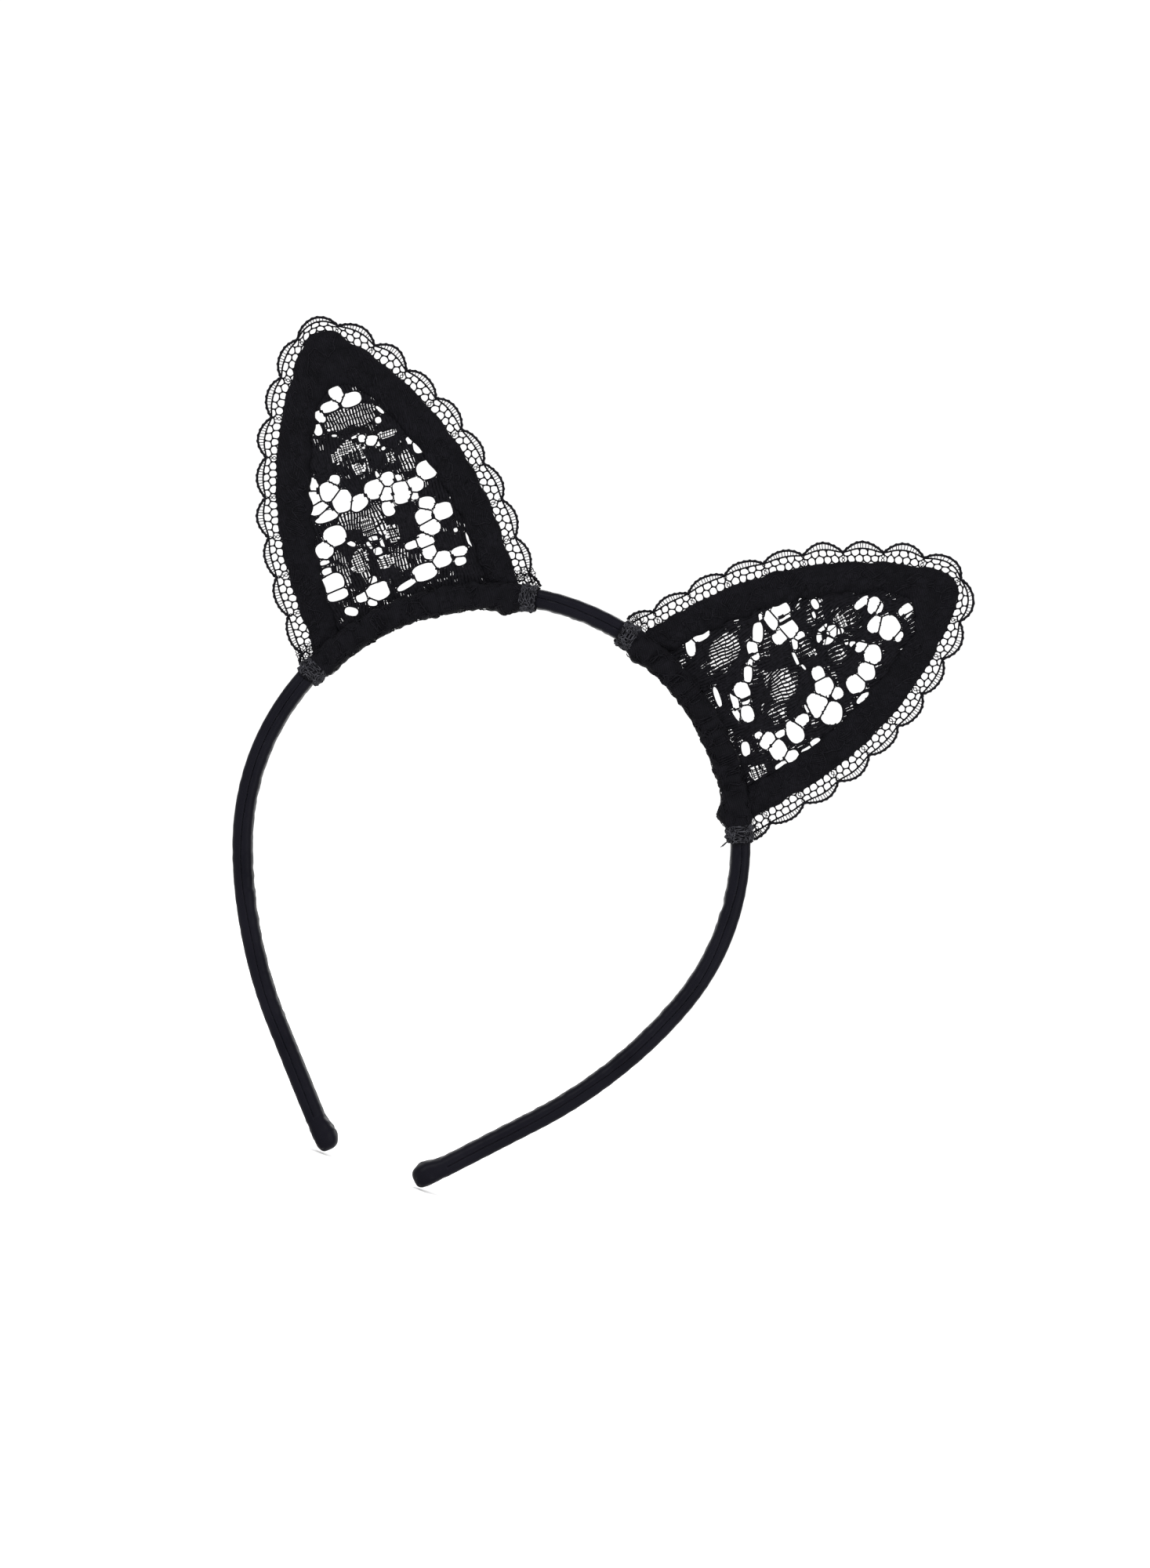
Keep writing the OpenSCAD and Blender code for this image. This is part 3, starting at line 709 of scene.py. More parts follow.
# Every oval is (x, height, half width, half height, and any tilt in degrees), x to the viewer's right.
# cells are open holes in the lace, nets are holes with fine net across, hatched is where the fill is
# a single set of threads, leaves are outlined with a raised cord, and flowers have a ring and petals.
# lean is how far the lace sits to the right of the ear's axis: at its foot, and for each mm up.
LACE = {
    "left": {
        "lean": (-1.5, 0.005),
        "cells": [
            (0.6, 63.3, 1.5, 1.9, 20), (-1.9, 60.9, 2.1, 1.2), (3.4, 60.9, 2.3, 1.5),
            (-5.0, 59.3, 1.0, 1.5, 25), (-6.5, 56.5, 1.0, 1.3), (9.3, 56.2, 0.5, 1.2, 30),
            (8.1, 54.0, 0.8, 0.8), (-3.2, 53.9, 0.7, 0.4, -20), (-4.0, 55.6, 0.5, 0.4, -20),
            (1.4, 52.0, 1.0, 0.4, 5), (2.9, 51.1, 0.9, 0.9), (5.1, 49.8, 1.5, 1.2, -15),
            (6.3, 48.5, 0.6, 0.6), (7.1, 47.1, 0.6, 0.5, 20), (13.6, 46.9, 0.8, 0.9),
            (15.3, 44.9, 1.2, 1.6, -10), (-11.8, 44.3, 1.0, 1.6), (-6.5, 43.8, 1.2, 1.1, -20),
            (-8.7, 41.6, 2.3, 2.0), (-12.9, 41.4, 1.6, 1.6), (-12.3, 38.4, 2.4, 1.2),
            (-6.4, 38.3, 2.4, 2.3), (3.6, 41.6, 0.5, 0.9, 10), (5.7, 39.8, 1.6, 1.5), (8.2, 39.2, 0.8, 0.8),
            (1.9, 38.4, 2.2, 2.0), (15.4, 38.8, 2.2, 2.0), (-11.3, 36.0, 2.6, 1.2),
            (-2.8, 36.6, 2.1, 1.6, 20), (4.3, 36.3, 1.7, 1.5, 10), (7.8, 35.7, 2.5, 2.4),
            (11.6, 36.3, 1.8, 1.6), (10.6, 33.7, 0.9, 0.8), (3.6, 33.0, 1.4, 1.7), (-10.9, 30.9, 2.4, 2.1),
            (-14.4, 28.4, 1.9, 1.8, 10), (-15.3, 25.6, 1.2, 0.6), (-15.4, 23.4, 1.2, 0.8),
            (-15.0, 20.3, 2.4, 2.0), (-14.8, 17.1, 2.3, 1.2), (-7.7, 27.8, 1.0, 0.6, -40),
            (12.8, 31.1, 1.8, 1.5, -15), (11.2, 28.3, 2.0, 1.7), (15.8, 28.1, 2.3, 1.8),
            (11.7, 25.4, 2.2, 1.7, -10), (9.4, 22.7, 2.1, 1.5, -15), (6.0, 22.7, 1.5, 0.9),
            (9.6, 19.7, 1.6, 1.5), (17.3, 22.7, 0.6, 0.6), (11.9, 17.1, 2.1, 1.7), (16.5, 17.5, 1.8, 1.1),
            (16.0, 15.2, 1.3, 1.0), (19.5, 19.2, 0.5, 2.0), (6.9, 15.5, 2.7, 1.8),
            (1.8, 14.0, 2.3, 0.8, 12), (-5.5, 14.9, 2.7, 2.0), (-5.6, 17.8, 1.0, 0.8, 20),
            (-9.5, 14.7, 1.3, 1.1), (-7.4, 12.6, 1.1, 0.8, -20), (-13.0, 12.3, 1.5, 1.0, -30),
            (-2.1, 24.0, 1.1, 0.9), (-3.7, 26.0, 0.5, 1.0, 20), (-2.2, 27.3, 1.2, 0.6, -10),
            (-0.5, 25.6, 0.6, 1.1),
        ],
        "nets": [
            (-1.4, 50.2, 2.3, 1.1, 25), (-4.4, 48.6, 0.9, 1.4), (9.0, 50.2, 2.4, 0.8),
            (1.9, 48.2, 0.7, 1.5), (-0.1, 44.4, 1.2, 1.3), (8.2, 44.5, 0.9, 1.4), (-2.7, 30.3, 1.6, 2.1),
            (2.6, 26.9, 1.4, 2.0, 10), (-7.0, 23.2, 1.8, 2.8, -35), (-1.3, 21.0, 1.9, 1.4),
        ],
        "hatched": [
            (-0.8, 57.2, 3.6, 2.5), (4.8, 56.6, 3.4, 2.8), (-5.2, 33.0, 4.0, 2.4, -8),
            (0.4, 33.6, 2.0, 3.2), (0.5, 29.6, 1.5, 2.3), (-11.8, 23.0, 1.9, 4.6), (-6.4, 20.0, 1.4, 2.6),
            (2.4, 20.2, 2.0, 3.0), (11.8, 42.6, 1.6, 2.6),
        ],
        "leaves": [
            (2.0, 56.7, 7.0, 3.1), (-3.6, 32.9, 6.2, 3.5), (-10.0, 22.3, 3.8, 6.2, 6),
            (-0.4, 18.9, 4.4, 4.1), (6.4, 29.0, 3.5, 4.4), (15.4, 33.6, 4.3, 3.5), (-0.8, 42.5, 5.3, 3.5),
            (-8.2, 50.2, 3.8, 4.6, 8), (12.2, 43.6, 3.0, 4.6, -8), (5.6, 45.6, 2.6, 3.0),
            (15.2, 22.6, 3.8, 4.3),
        ],
        "flowers": [(-2.2, 25.5, 2.4)],
        "stems": [[(-4.2, 23.4), (-5.0, 19.8), (-6.8, 17.0), (-9.4, 15.8), (-13.6, 15.6)],
                  [(0.4, 24.8), (3.2, 24.5), (6.4, 23.9), (8.4, 24.0)],
                  [(-4.4, 26.6), (-6.4, 28.6), (-9.4, 28.4), (-11.6, 28.0)]],
    },
    "right": {
        "lean": (0.7, -0.024),
        "cells": [
            (0.9, 63.4, 1.2, 1.8, 5), (0.3, 65.8, 0.6, 0.8), (2.2, 63.4, 0.4, 1.0, 20),
            (-4.0, 57.0, 1.9, 1.5, -30), (-2.6, 57.9, 0.7, 1.3, 38), (-6.0, 54.9, 1.0, 2.0, 8),
            (2.5, 57.6, 2.5, 2.4), (5.7, 58.7, 0.8, 1.2, 30), (0.1, 55.0, 1.4, 1.9, 25),
            (6.1, 51.0, 2.1, 1.9, -20), (2.9, 49.4, 1.2, 1.5), (1.4, 48.0, 0.7, 0.8), (0.5, 46.8, 0.5, 0.5),
            (8.9, 47.7, 2.0, 1.8, -15), (10.2, 43.9, 2.0, 1.9), (13.9, 43.8, 0.7, 1.7, 15),
            (-11.5, 44.7, 1.2, 0.8), (-9.4, 43.2, 0.9, 0.5, -10), (-3.7, 45.2, 1.3, 1.4),
            (-5.6, 43.6, 0.7, 1.4), (-2.2, 43.1, 0.8, 1.4), (-3.9, 41.6, 1.1, 0.7, -25),
            (-2.7, 46.8, 0.7, 0.9), (9.9, 39.0, 1.3, 1.3), (-14.3, 36.7, 1.8, 2.0),
            (-9.6, 36.4, 2.4, 1.7, 10), (-12.1, 36.6, 0.9, 1.3), (-6.7, 37.7, 0.9, 1.2),
            (-5.7, 35.8, 1.3, 0.7, -20), (-13.6, 33.5, 2.5, 1.2, 5), (-8.9, 33.2, 1.5, 1.5),
            (-2.5, 34.2, 2.0, 0.5, -5), (0.3, 34.9, 0.8, 0.4, 10), (3.4, 37.2, 1.6, 1.4, -10),
            (7.1, 37.0, 2.3, 2.0, -10), (13.3, 35.4, 2.4, 2.3, -30), (9.9, 33.4, 2.7, 2.2, -10),
            (9.8, 30.6, 1.4, 0.4), (-15.4, 31.6, 0.9, 0.5, -15), (-12.5, 29.2, 2.3, 1.2, -30),
            (-9.9, 26.2, 1.7, 1.2, -15), (-7.8, 26.0, 0.9, 0.9), (-5.3, 22.4, 2.1, 1.0, -30),
            (-7.2, 24.1, 0.9, 0.6, -40), (11.2, 28.4, 1.3, 1.5), (12.7, 25.4, 2.5, 1.8),
            (17.5, 28.5, 0.9, 1.3), (17.9, 25.8, 0.6, 1.3), (11.4, 22.1, 0.8, 1.2), (17.5, 21.8, 1.3, 1.7),
            (14.5, 19.8, 2.2, 1.8), (11.2, 18.6, 1.6, 1.9, 20), (18.2, 18.7, 0.9, 1.6),
            (9.0, 17.3, 0.8, 0.9), (-2.3, 19.1, 2.0, 1.6), (0.5, 18.6, 0.6, 1.0),
            (3.2, 17.5, 1.8, 1.4, -10), (-1.0, 16.3, 2.4, 0.8, -10), (1.9, 15.1, 1.8, 0.7, 3),
            (-18.9, 17.0, 1.2, 1.9), (-17.8, 13.3, 2.0, 1.1, -20), (-4.0, 13.1, 2.3, 0.7, -10),
            (10.3, 13.0, 1.6, 1.0, -20),
        ],
        "nets": [
            (-4.8, 47.9, 1.6, 1.4), (16.6, 13.0, 1.6, 2.0), (-1.7, 38.4, 0.7, 0.9), (-11.6, 46.1, 0.7, 0.6),
        ],
        "hatched": [
            (1.1, 27.8, 4.1, 3.3), (-13.0, 20.2, 3.5, 4.1),
        ],
        "leaves": [
            (1.6, 27.3, 8.0, 8.2), (-11.4, 21.8, 7.2, 7.5), (4.6, 43.9, 3.9, 4.4), (-2.6, 52.8, 2.6, 3.2),
            (-1.4, 38.8, 3.4, 3.4), (15.6, 30.0, 3.2, 2.8), (-9.6, 40.8, 4.4, 2.6), (-6.6, 16.0, 2.4, 3.6),
            (14.4, 15.4, 3.6, 1.8, 6), (7.6, 54.4, 4.2, 2.4, -12), (13.4, 40.4, 3.0, 1.8, -10),
        ],
        "flowers": [(-3.8, 43.8, 3.0)],
        "stems": [[(-1.9, 41.2), (-0.6, 44.4), (0.4, 47.6), (1.6, 49.6), (3.4, 51.6)],
                  [(-7.4, 49.6), (-6.6, 46.0), (-5.8, 41.6)],
                  [(11.6, 23.4), (13.4, 22.6), (15.8, 23.8), (18.4, 24.0)]],
    },
}
FILL_PITCH, FILL_R, THIN_FILL_R = 0.75, 0.5, 0.29
FILL_LINES, FILL_HALF_W, FILL_LOW, FILL_HIGH = 29, 23, 7, 68
LACE_MARGIN = 1.4


def ovals(shapes):
    """The shapes of a plan, each with its tilt."""
    return [(*shape, 0)[:5] for shape in shapes]


def oval_line(oval, count=40, spread=1.0, neighbours=(), wall=0.2):
    """Outline of a squared oval. It stops half a wall short of the line it shares with each neighbour."""
    x, h = oval[:2]
    turn = np.linspace(0, 2 * math.pi, count, endpoint=False)

    def radius(shape, towards):
        half_x, half_h, tilt = shape[2:]
        towards = towards - math.radians(tilt)
        power = 2.5
        return (np.abs(np.cos(towards) / half_x) ** power
                + np.abs(np.sin(towards) / half_h) ** power) ** (-1 / power)

    reach = spread * radius(oval, turn)
    for other in neighbours:
        apart, towards = math.dist((x, h), other[:2]), math.atan2(other[1] - h, other[0] - x)
        own, its = radius(oval, towards), radius(other, towards)
        facing = np.cos(turn - towards)
        limit = (apart * own / (own + its) - wall / 2) / np.maximum(facing, 0.05)
        reach = np.where(facing > 0.05, np.minimum(reach, limit), reach)
    return np.stack([x + reach * np.cos(turn), h + reach * np.sin(turn)], 1)


def in_any(points, outlines):
    """True for each 2D point inside any of the outlines."""
    found = np.zeros(len(points), bool)
    for outline in outlines:
        found |= inside(points, outline)
    return found


def ring_path(outline):
    """A closed outline as an evenly spaced path that ends where it starts."""
    return spaced(np.vstack([outline, outline[:1]]), 0.3)


class LaceSheet:
    """The floral lace across one window, drawn thread by thread as (x, height) in the ear's frame."""

    def __init__(self, side):
        hand, self.plan = SIDES[side], LACE[side]
        self.hand, self.dice = hand, random.Random(300 + hand)
        self.threads = Threads(ear_place(hand))
        self.sway, self.drift = ripple2(310 + hand, 14, 12), ripple2(320 + hand, 3.5, 4.5)
        self.slant = ripple2(330 + hand, 15, 17)
        rim = WINDOW.at(np.linspace(-75, 75, 160), LACE_MARGIN)
        self.rim = np.vstack([rim, [(rim[-1, 0], -5), (rim[0, 0], -5)]])
        holes = ovals(self.plan["cells"])
        self.beside = [[o for o in holes if o != c and math.dist(c[:2], o[:2]) < 8] for c in holes]
        self.cells = [oval_line(c, 40, 1.24, near, 0.14) for c, near in zip(holes, self.beside)]
        # The fill is cut a little inside the cells' own cords
        self.clear = [oval_line(c, 40, 1.21, near, 0.3) for c, near in zip(holes, self.beside)]
        self.nets = [oval_line(net) for net in ovals(self.plan["nets"])]

    def draw(self, path, radius, keep=True, depth=0.0, flat=0.75):
        """A thread, where it is kept and between the border's slot and the wrap."""
        foot_lean, rise_lean = self.plan["lean"]
        path = path + np.stack([foot_lean + rise_lean * path[:, 1], 0 * path[:, 1]], 1)
        above_wrap = crown_distance(path[:, 0], path[:, 1], self.hand) > WRAP_OUT_R - 0.35
        shown = keep & inside(path, self.rim) & above_wrap
        radius = np.broadcast_to(radius, len(path))
        for run in runs(np.column_stack([path, radius]), shown):
            x, h = run[:, 0], run[:, 1]
            y = depth + 0.16 * self.sway(x, h) + 0.06 * self.drift(x, h)
            self.threads.add(np.stack([x, y, h], 1), run[:, 2], flat)

    def in_fill(self, path):
        return ~in_any(path, self.clear) & ~in_any(path, self.nets)

    def draw_fill(self):
        """Upright threads, broad and touching where the lace is close, and thin cross threads."""
        hatched = [oval_line(zone) for zone in ovals(self.plan["hatched"])]
        for k in range(-FILL_LINES, FILL_LINES + 1):
            path = spaced([(k * FILL_PITCH, FILL_LOW), (k * FILL_PITCH, FILL_HIGH)], 0.26)
            path[:, 0] += 0.5 * self.slant(path[:, 0], path[:, 1]) + 0.06 * np.sin(path[:, 1] * 2.1 + k)
            thin = in_any(path, hatched)
            for _ in range(6):
                start = self.dice.randrange(len(path))
                thin[start:start + self.dice.randrange(2, 8)] = True
            radius = np.where(thin, THIN_FILL_R + 0.035 * self.drift(path[:, 1], path[:, 0] + k), FILL_R)
            self.draw(path, radius, self.in_fill(path), 0.03 * self.dice.choice((-1, 1)), 0.5)
        level = FILL_LOW - 1
        while level < FILL_HIGH - 2:
            path = spaced([(-FILL_HALF_W, level), (FILL_HALF_W, level)], 0.3)
            path[:, 1] += 0.3 * self.drift(path[:, 0], path[:, 1])
            self.draw(path, 0.14, self.in_fill(path), 0.12)
            level += self.dice.uniform(1.0, 1.7)

    def draw_cells(self):
        """Open cells: thin walls between neighbours, thicker cords where the group ends."""
        for cell, near in zip(self.cells, self.beside):
            line = ring_path(cell)
            shared = in_any(line, [oval_line(other, 30, 1.42) for other in near])
            self.draw(line, np.where(shared, 0.13, self.dice.uniform(0.21, 0.27)), depth=-0.06)

    def draw_nets(self):
        """Fine net across the net holes, two crossing sets of threads."""
        dice = self.dice
        for net in self.nets:
            for tilt in (dice.uniform(-0.2, 0.2), math.pi / 2 + dice.uniform(-0.2, 0.2)):
                for line in hatch_lines(net, dice.uniform(0.5, 0.6), tilt, dice, 0.2):
                    path = spaced(line, 0.4)
                    self.draw(path, 0.145, ~in_any(path, self.clear), 0.02)

    def draw_cords(self):
        """Raised cords: leaf outlines, flower rings and stems."""
        for x, h, half_x, half_h, tilt in ovals(self.plan["leaves"]):
            lobes = self.dice.choice((4, 5, 6))
            path = ring_path(leaf_outline((x, h), half_x, half_h, math.radians(tilt), lobes, 0.12))
            self.draw(path, 0.21, ~in_any(path, self.cells), -0.2)
        for x, h, radius in self.plan["flowers"]:
            self.draw(ring_path(oval_line((x, h, radius, radius * 1.1, 0))), 0.26, depth=-0.18)
            self.draw(ring_path(oval_line((x, h, radius * 0.2, radius * 0.2, 0), 16)), 0.2, depth=-0.18)
            for k in range(5):
                a = 2 * math.pi * k / 5 + 0.5
                spoke = [(x + r * math.cos(a), h + r * math.sin(a)) for r in (0.25 * radius, 1.05 * radius)]
                self.draw(spaced(spoke, 0.4), 0.14, depth=-0.15)
        for stem in self.plan["stems"]:
            self.draw(smooth_line(stem, 0.4), 0.24, depth=-0.2)


def make_lace_panel(side, material):
    """The floral lace sheet across one window."""
    lace = LaceSheet(side)
    lace.draw_fill()
    lace.draw_cells()
    lace.draw_nets()
    lace.draw_cords()
    piece = make_piece(f"{side}_ear_window_lace", *lace.threads.finish(), "lace_net", material)
    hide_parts(f"{side}_ear_lace_panel")


def smooth_line(stops, step):
    """A smooth line through a few points."""
    stops = np.asarray(stops, float)
    padded = np.vstack([2 * stops[0] - stops[1], stops, 2 * stops[-1] - stops[-2]])
    t = np.linspace(0, 1, 9)[:, None]
    parts = []
    for p0, p1, p2, p3 in zip(padded, padded[1:], padded[2:], padded[3:]):
        parts.append(0.5 * (2 * p1 + (p2 - p0) * t + (2 * p0 - 5 * p1 + 4 * p2 - p3) * t ** 2
                            + (3 * p1 - p0 - 3 * p2 + p3) * t ** 3)[:-1])
    return spaced(np.vstack([*parts, stops[-1:]]), step)


# ---------- scalloped trim ----------


class Edging:
    """The scalloped net round one ear, drawn as (distance along the border from the tip, distance out)."""

    half = SCALLOP_PITCH / 2

    def __init__(self, side):
        hand, count = SIDES[side], SCALLOPS[side]
        self.hand, self.dice = hand, random.Random(400 + hand)
        self.threads = Threads(ear_place(hand))
        self.wave, self.flutter = ripple(410 + hand, 17), ripple(420 + hand, 6)
        self.stretch = ripple(430 + hand, 13)
        self.middles = [(i - (count - 1) / 2) * SCALLOP_PITCH for i in range(count)]

    def draw(self, path, radius, depth=0.0, flat=0.9):
        """A thread, pulled in and drawn together round the tip, down to the net ties."""
        along, out = path[:, 0], path[:, 1]
        squeeze = 1 - 0.33 * np.exp(-((along / 8) ** 2)) + 0.04 * self.stretch(along)
        reach = np.clip(out / TRIM_W, 0, 1)
        along = along - 1.1 * reach * np.tanh(along / 3) * np.exp(-((along / 12) ** 2))
        flat_point = EAR[self.hand].at(along, out * squeeze)
        y = depth + (0.34 * self.wave(along) + 0.12 * self.flutter(along)) * reach
        radius = np.broadcast_to(radius, len(path))
        full = np.column_stack([flat_point[:, 0], y, flat_point[:, 1], radius])
        keep = crown_distance(full[:, 0], full[:, 2], self.hand) > BAND_OUT_R + TIE_T + 0.1
        for run in runs(full, keep):
            self.threads.add(run[:, :3], run[:, 3], flat)

    def crest(self, m, x):
        """Outer edge at distance x from a scallop's middle m, notched more on the ear's upper half."""
        notch = 1.6 + 0.9 * np.exp(-(((m + x) / 50) ** 2))
        return TRIM_W - 0.15 - notch * np.abs(x / self.half) ** 2.1

    def hem(self, m, x):
        """Inner edge of the ladder of fine bars that follows each scallop."""
        return self.crest(m, x) - 1.5 * np.maximum(0, 1 - (x / (self.half * 0.97)) ** 2) ** 0.75

    def hem_at(self, along):
        nearest = min(self.middles, key=lambda m: abs(m - along))
        return self.hem(nearest, along - nearest)

    def draw_scallops(self):
        """The beaded outer cord, then each scallop's hem, bars and the twisted column beside it."""
        x = np.linspace(-self.half, self.half, 44)
        edge = np.vstack([np.stack([m + x[:-1], self.crest(m, x[:-1])], 1) for m in self.middles])
        step, bead = 0.24, 1.3
        edge = spaced(edge, step)
        beads = np.maximum(0, np.sin(2 * math.pi * np.arange(len(edge)) * step / bead))
        edge[:, 1] += 0.10 * beads
        self.draw(edge, 0.32 + 0.08 * beads, -0.05)
        for m in self.middles:
            self.draw(spaced(np.stack([m + x, self.hem(m, x)], 1), 0.4), 0.23, 0.03)
            for k in range(-6, 7):
                at = 0.66 * (k + self.dice.uniform(-0.15, 0.15))
                foot, head = (m + at * 0.94, self.hem(m, at)), (m + at + 0.06 * at, self.crest(m, at))
                self.draw(spaced([foot, head], 0.5), 0.105)
            for phase in (0, math.pi):
                out = np.linspace(-0.8, self.crest(m, self.half), 16)
                twist = m + self.half + 0.36 * np.sin(2 * math.pi * out / 1.9 + phase)
                self.draw(np.stack([twist, out], 1), 0.12, 0.06 * math.cos(phase))

    def draw_net(self):
        """Rounded cells between the border and the hems, their walls thicker where they meet."""
        first, last = self.middles[0] - self.half, self.middles[-1] + self.half
        for a, b in honeycomb(first, last, -1.0, 2.35, SCALLOP_PITCH / 5, self.dice, 0.17):
            path = spaced([a, b], 0.3)
            run = np.linspace(0, 1, len(path))
            near = np.minimum(run, 1 - run) * math.dist(a, b)
            radius = 0.165 + 0.15 * np.clip(1 - near / 0.42, 0, 1) ** 1.3
            keep = np.array([p[1] < self.hem_at(p[0]) + 0.05 and first - 0.5 < p[0] < last + 0.5
                             for p in path])
            for part in runs(np.column_stack([path, radius]), keep):
                self.draw(part[:, :2], part[:, 2])

    def draw_feet(self):
        """Crumpled net where the edging runs into the ties."""
        start, end = 79, 89
        for foot in (-1, 1):
            for a, b in honeycomb(start, end, 0, 3.6, 0.75, self.dice, 0.25):
                path = spaced([a, b], 0.35)
                path[:, 0] *= foot
                self.draw(path, 0.10 + 0.006 * (a[0] - start), self.dice.uniform(-0.5, 0.5))


def make_trim(side, material):
    """Net edging round one ear."""
    edging = Edging(side)
    edging.draw_scallops()
    edging.draw_net()
    edging.draw_feet()
    piece = make_piece(f"{side}_ear_edging", *edging.threads.finish(), "lace_net", material)
    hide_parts(f"{side}_ear_trim")


# ---------- wraps, ties and stitches ----------


class Sleeve:
    """Soft sleeve round the band between two distances, as a surface over distance and turn."""

    def __init__(self, start, end, wall, gather, seed, fold, fold_wave, bulges=(), pinches=(), ragged=0.0):
        self.start, self.end, self.wall, self.gather = start, end, wall, gather
        self.ragged, self.slip = ragged, seed % 7
        self.fold, self.bulges, self.pinches = fold, bulges, pinches
        self.folds, self.lumps = ripple2(seed, fold_wave, 16), ripple2(seed + 1, 8, 9)

    def ring(self, s, turn, lift=0.0, inner=False):
        """Points at distance s, turned from the outer face round the front."""
        c, n, power = np.cos(turn), np.sin(turn), 2 / 4.2
        wall = 0.06 if inner else self.wall
        gather = 0 if inner else self.gather
        depth_in = BAND_T / 2 + wall + gather
        out = squared(c, power) * np.where(c < 0, depth_in, BAND_T / 2 + wall)
        y = squared(n, power) * (BAND_W / 2 + wall)
        if not inner:
            run = turn * SECTION_R
            taper = np.clip(np.minimum(s - self.start, self.end - s) / 1.2, 0, 1) ** 0.5
            push = self.fold * self.folds(s, run) + 0.18 * self.lumps(s, run)
            for middle, size, spread in self.bulges:
                push = push + size * np.exp(-(((s - middle) / spread) ** 2)) * np.maximum(0, -c) ** 1.5
            for middle in self.pinches:
                push = push - 0.22 * np.exp(-(((s - middle) / 0.55) ** 2))
            push = push * taper + lift
            length = np.hypot(out, y * 0.6) + 1e-6
            out, y = out + push * out / length, y + push * y * 0.6 / length
        return out, y

    def points(self, s, turn, lift=0.0, inner=False):
        s, turn = np.broadcast_arrays(np.asarray(s, float), np.asarray(turn, float))
        out, y = self.ring(s, turn, lift, inner)
        side = (2 * s - self.start - self.end) / (self.end - self.start)
        wander = np.sin(2 * turn + self.slip + side) + 0.6 * np.sin(5 * turn + 2 * self.slip - side)
        return on_band(s - self.ragged * (0.8 + 0.5 * wander) * side ** 3, out, y)

    def shell(self, along, around):
        """The closed sleeve: out along the outer face, back along the inner."""
        s, turn = np.linspace(self.start, self.end, along), -np.arange(around) * 2 * math.pi / around
        outer = self.points(*np.meshgrid(s, turn, indexing="ij"))
        inner = self.points(*np.meshgrid(s[::-1], turn, indexing="ij"), inner=True)
        return lofted(np.concatenate([outer, inner]), closed=True)

    def lay(self, threads, path, lift, radius, flat=0.8):
        """A thread on the sleeve, along (distance from its middle, distance round)."""
        s = path[:, 0] + (self.start + self.end) / 2
        keep = (s > self.start + 0.3) & (s < self.end - 0.3)
        for run in runs(np.column_stack([s, path[:, 1]]), keep):
            turn = run[:, 1] / SECTION_R
            low = self.points(run[:, 0], turn, lift)
            threads.add(low, radius, flat, up=self.points(run[:, 0], turn, lift + 0.2) - low)


def corner_runs(hand):
    """Distances along the band to where an ear's wrap starts and ends, nearer the crown first."""
    inner, outer = (CROWN_R * math.radians(corner_turn(hand, side)) for side in (-1, 1))
    return inner + TIE_COVER, outer


def stitch_runs(hand):
    middle = EAR_LEAN[hand] - math.degrees(math.asin(crown_in_ear(hand)[0] / WRAP_OUT_R))
    turns = [middle + (i - (THREAD_LOOPS - 1) / 2) * LOOP_TURN for i in range(THREAD_LOOPS)]
    return [hand * CROWN_R * math.radians(turn) for turn in turns]


def make_wrap(side, material, lace):
    """Black lace gathered round the band under one ear, lumpy at both corners."""
    hand = SIDES[side]
    inner, outer = corner_runs(hand)
    start, end = sorted((hand * (inner - 0.4), hand * (outer + 0.4)))
    bulges = [(start + 3.0, 1.0 if hand > 0 else 0.5, 2.4), (end - 3.4, 1.7 if hand > 0 else 1.3, 2.8),
              ((start + end) / 2 + 8, 0.25, 5)]
    sleeve = Sleeve(start, end, WRAP_T - 0.1, GATHER_T, 500 + hand, 0.16, 3.4, bulges, stitch_runs(hand))
    points, faces = sleeve.shell(230, 84)
    threads = Threads()
    lace_cover(lambda path, lift, radius: sleeve.lay(threads, path, lift, radius),
               end - start, 27, random.Random(510 + hand), 2.2, 0.3)
    piece = make_covered(f"{side}_ear_gathered_wrap", points, faces, threads, "border_lace", material, lace)
    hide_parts(f"{side}_ear_base_wrap")
    make_stitches(side, sleeve, lace)


def make_stitches(side, sleeve, material):
    """Two-ply thread pulled tight round the wrap, five turns."""
    threads = Threads(sides=6)
    dice = random.Random(520 + SIDES[side])
    for middle in stitch_runs(SIDES[side]):
        turn = np.linspace(0, 2 * math.pi, 150, endpoint=False)
        sway = 0.25 * np.sin(turn + dice.uniform(0, 6)) + 0.1 * np.sin(3 * turn)
        for ply in (0, math.pi):
            twist = 34 * turn + ply
            s = middle + sway + 0.11 * np.cos(twist)
            path = sleeve.points(s, turn, 0.13 + 0.10 * np.sin(twist))
            up = sleeve.points(s, turn, 0.6) - sleeve.points(s, turn, 0.1)
            threads.add(path, 0.13, up=up, closed=True)
    points, faces = threads.finish()
    piece = make_piece(f"{side}_ear_thread_loops", points, faces, "thread", material)
    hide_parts(f"{side}_ear_stitches")


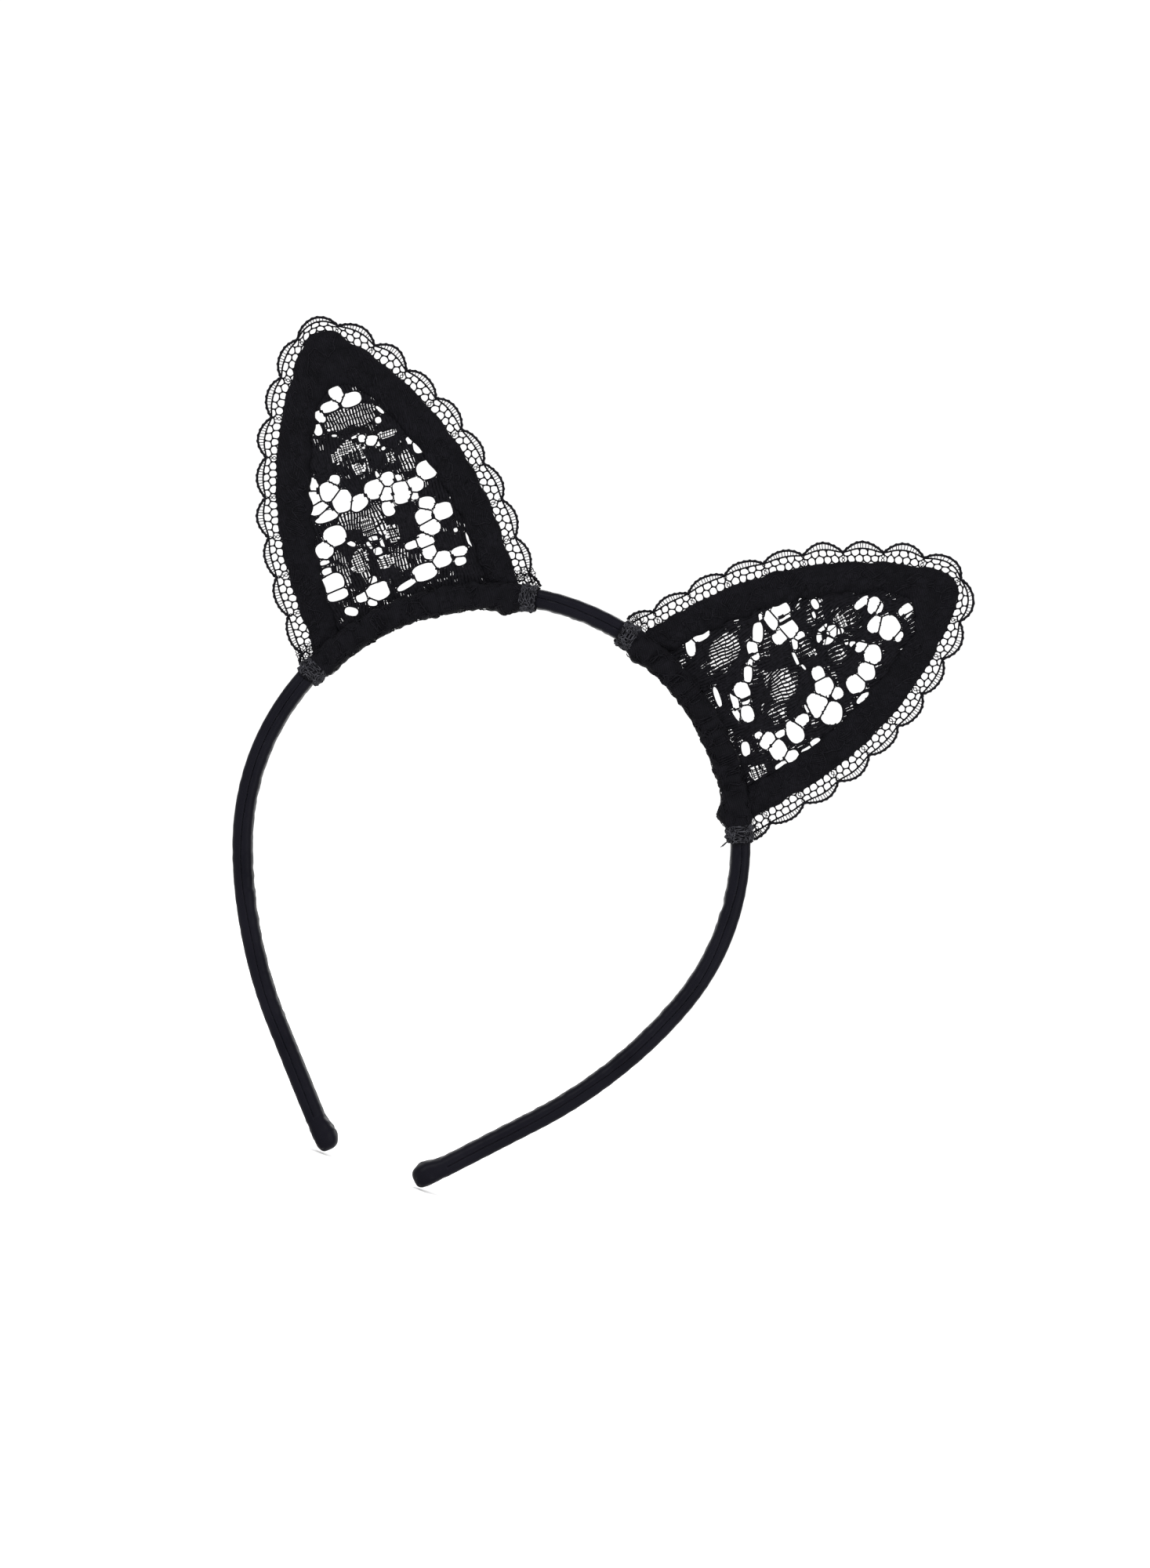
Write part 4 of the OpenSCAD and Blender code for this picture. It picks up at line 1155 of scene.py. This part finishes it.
def fray(threads, foot, dice):
    """Four loose ends that hang from a tie, inwards of (x, z) = foot."""
    for k in range(4):
        reach = dice.uniform(1.6, 3.0)
        t = np.linspace(0, 1, 9)
        x = foot[0] - 2.6 - 0.25 * k - 0.4 * t * reach
        z = foot[1] - 0.4 * k - 0.8 * t * reach - 0.1
        y = -1.2 + 0.5 * k - 0.3 * np.sin(2 * t + k)
        threads.add(np.stack([x, y, z], 1), 0.1)


def make_tie(side, corner, net, cloth):
    """A strip of net bunched and wound round the band at one corner of an ear."""
    hand = SIDES[side]
    inner, outer = corner_runs(hand)
    near, far = (inner - TIE_RUN, inner + 0.5) if corner == "inner" else (outer - 0.5, outer + TIE_RUN)
    start, end = sorted((hand * near, hand * far))
    seed = 600 + 10 * hand + (corner == "inner")
    sleeve = Sleeve(start, end, TIE_T - 0.2, 0.3, seed, 0.2, 1.9, ragged=0.5)
    points, faces = sleeve.shell(48, 72)
    threads = Threads()
    dice = random.Random(seed + 5)
    for layer in range(2):
        for a, b in honeycomb(-3, 3, 0, 27, 1.15 - 0.2 * layer, dice, 0.33):
            sleeve.lay(threads, spaced([a, b], 0.35), 0.12 + 0.16 * layer + dice.uniform(-0.06, 0.1), 0.105)
    if side == "right" and corner == "outer":
        fray(threads, band_line(end - 0.6)[0], dice)
    piece = make_covered(f"{side}_ear_{corner}_net_tie", points, faces, threads, "tie_mesh", cloth, net)
    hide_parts(f"{side}_ear_{corner}_tie")


# ---------- the whole object ----------


def main():
    make_camera()
    make_studio()
    finish = make_materials()
    for face, hand in [("outer", 1), ("inner", -1)]:
        ribbon = make_ribbon(f"{face}_ribbon", hand, f"band_{face}_satin", finish["satin"])
    for side, hand in SIDES.items():
        make_tip_fold(side, finish["satin"])
        make_border(side, Border(hand, 100 + 20 * hand), finish["border"], finish["lace"])
        make_lace_panel(side, finish["lace"])
        make_trim(side, finish["lace"])
        make_wrap(side, finish["border"], finish["lace"])
        for corner in ("inner", "outer"):
            make_tie(side, corner, finish["net"], finish["border"])
        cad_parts[f"{side}_ear_wire"].data.materials[0] = finish["steel"]
    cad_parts["band_core"].data.materials[0] = finish["plastic"]


main()
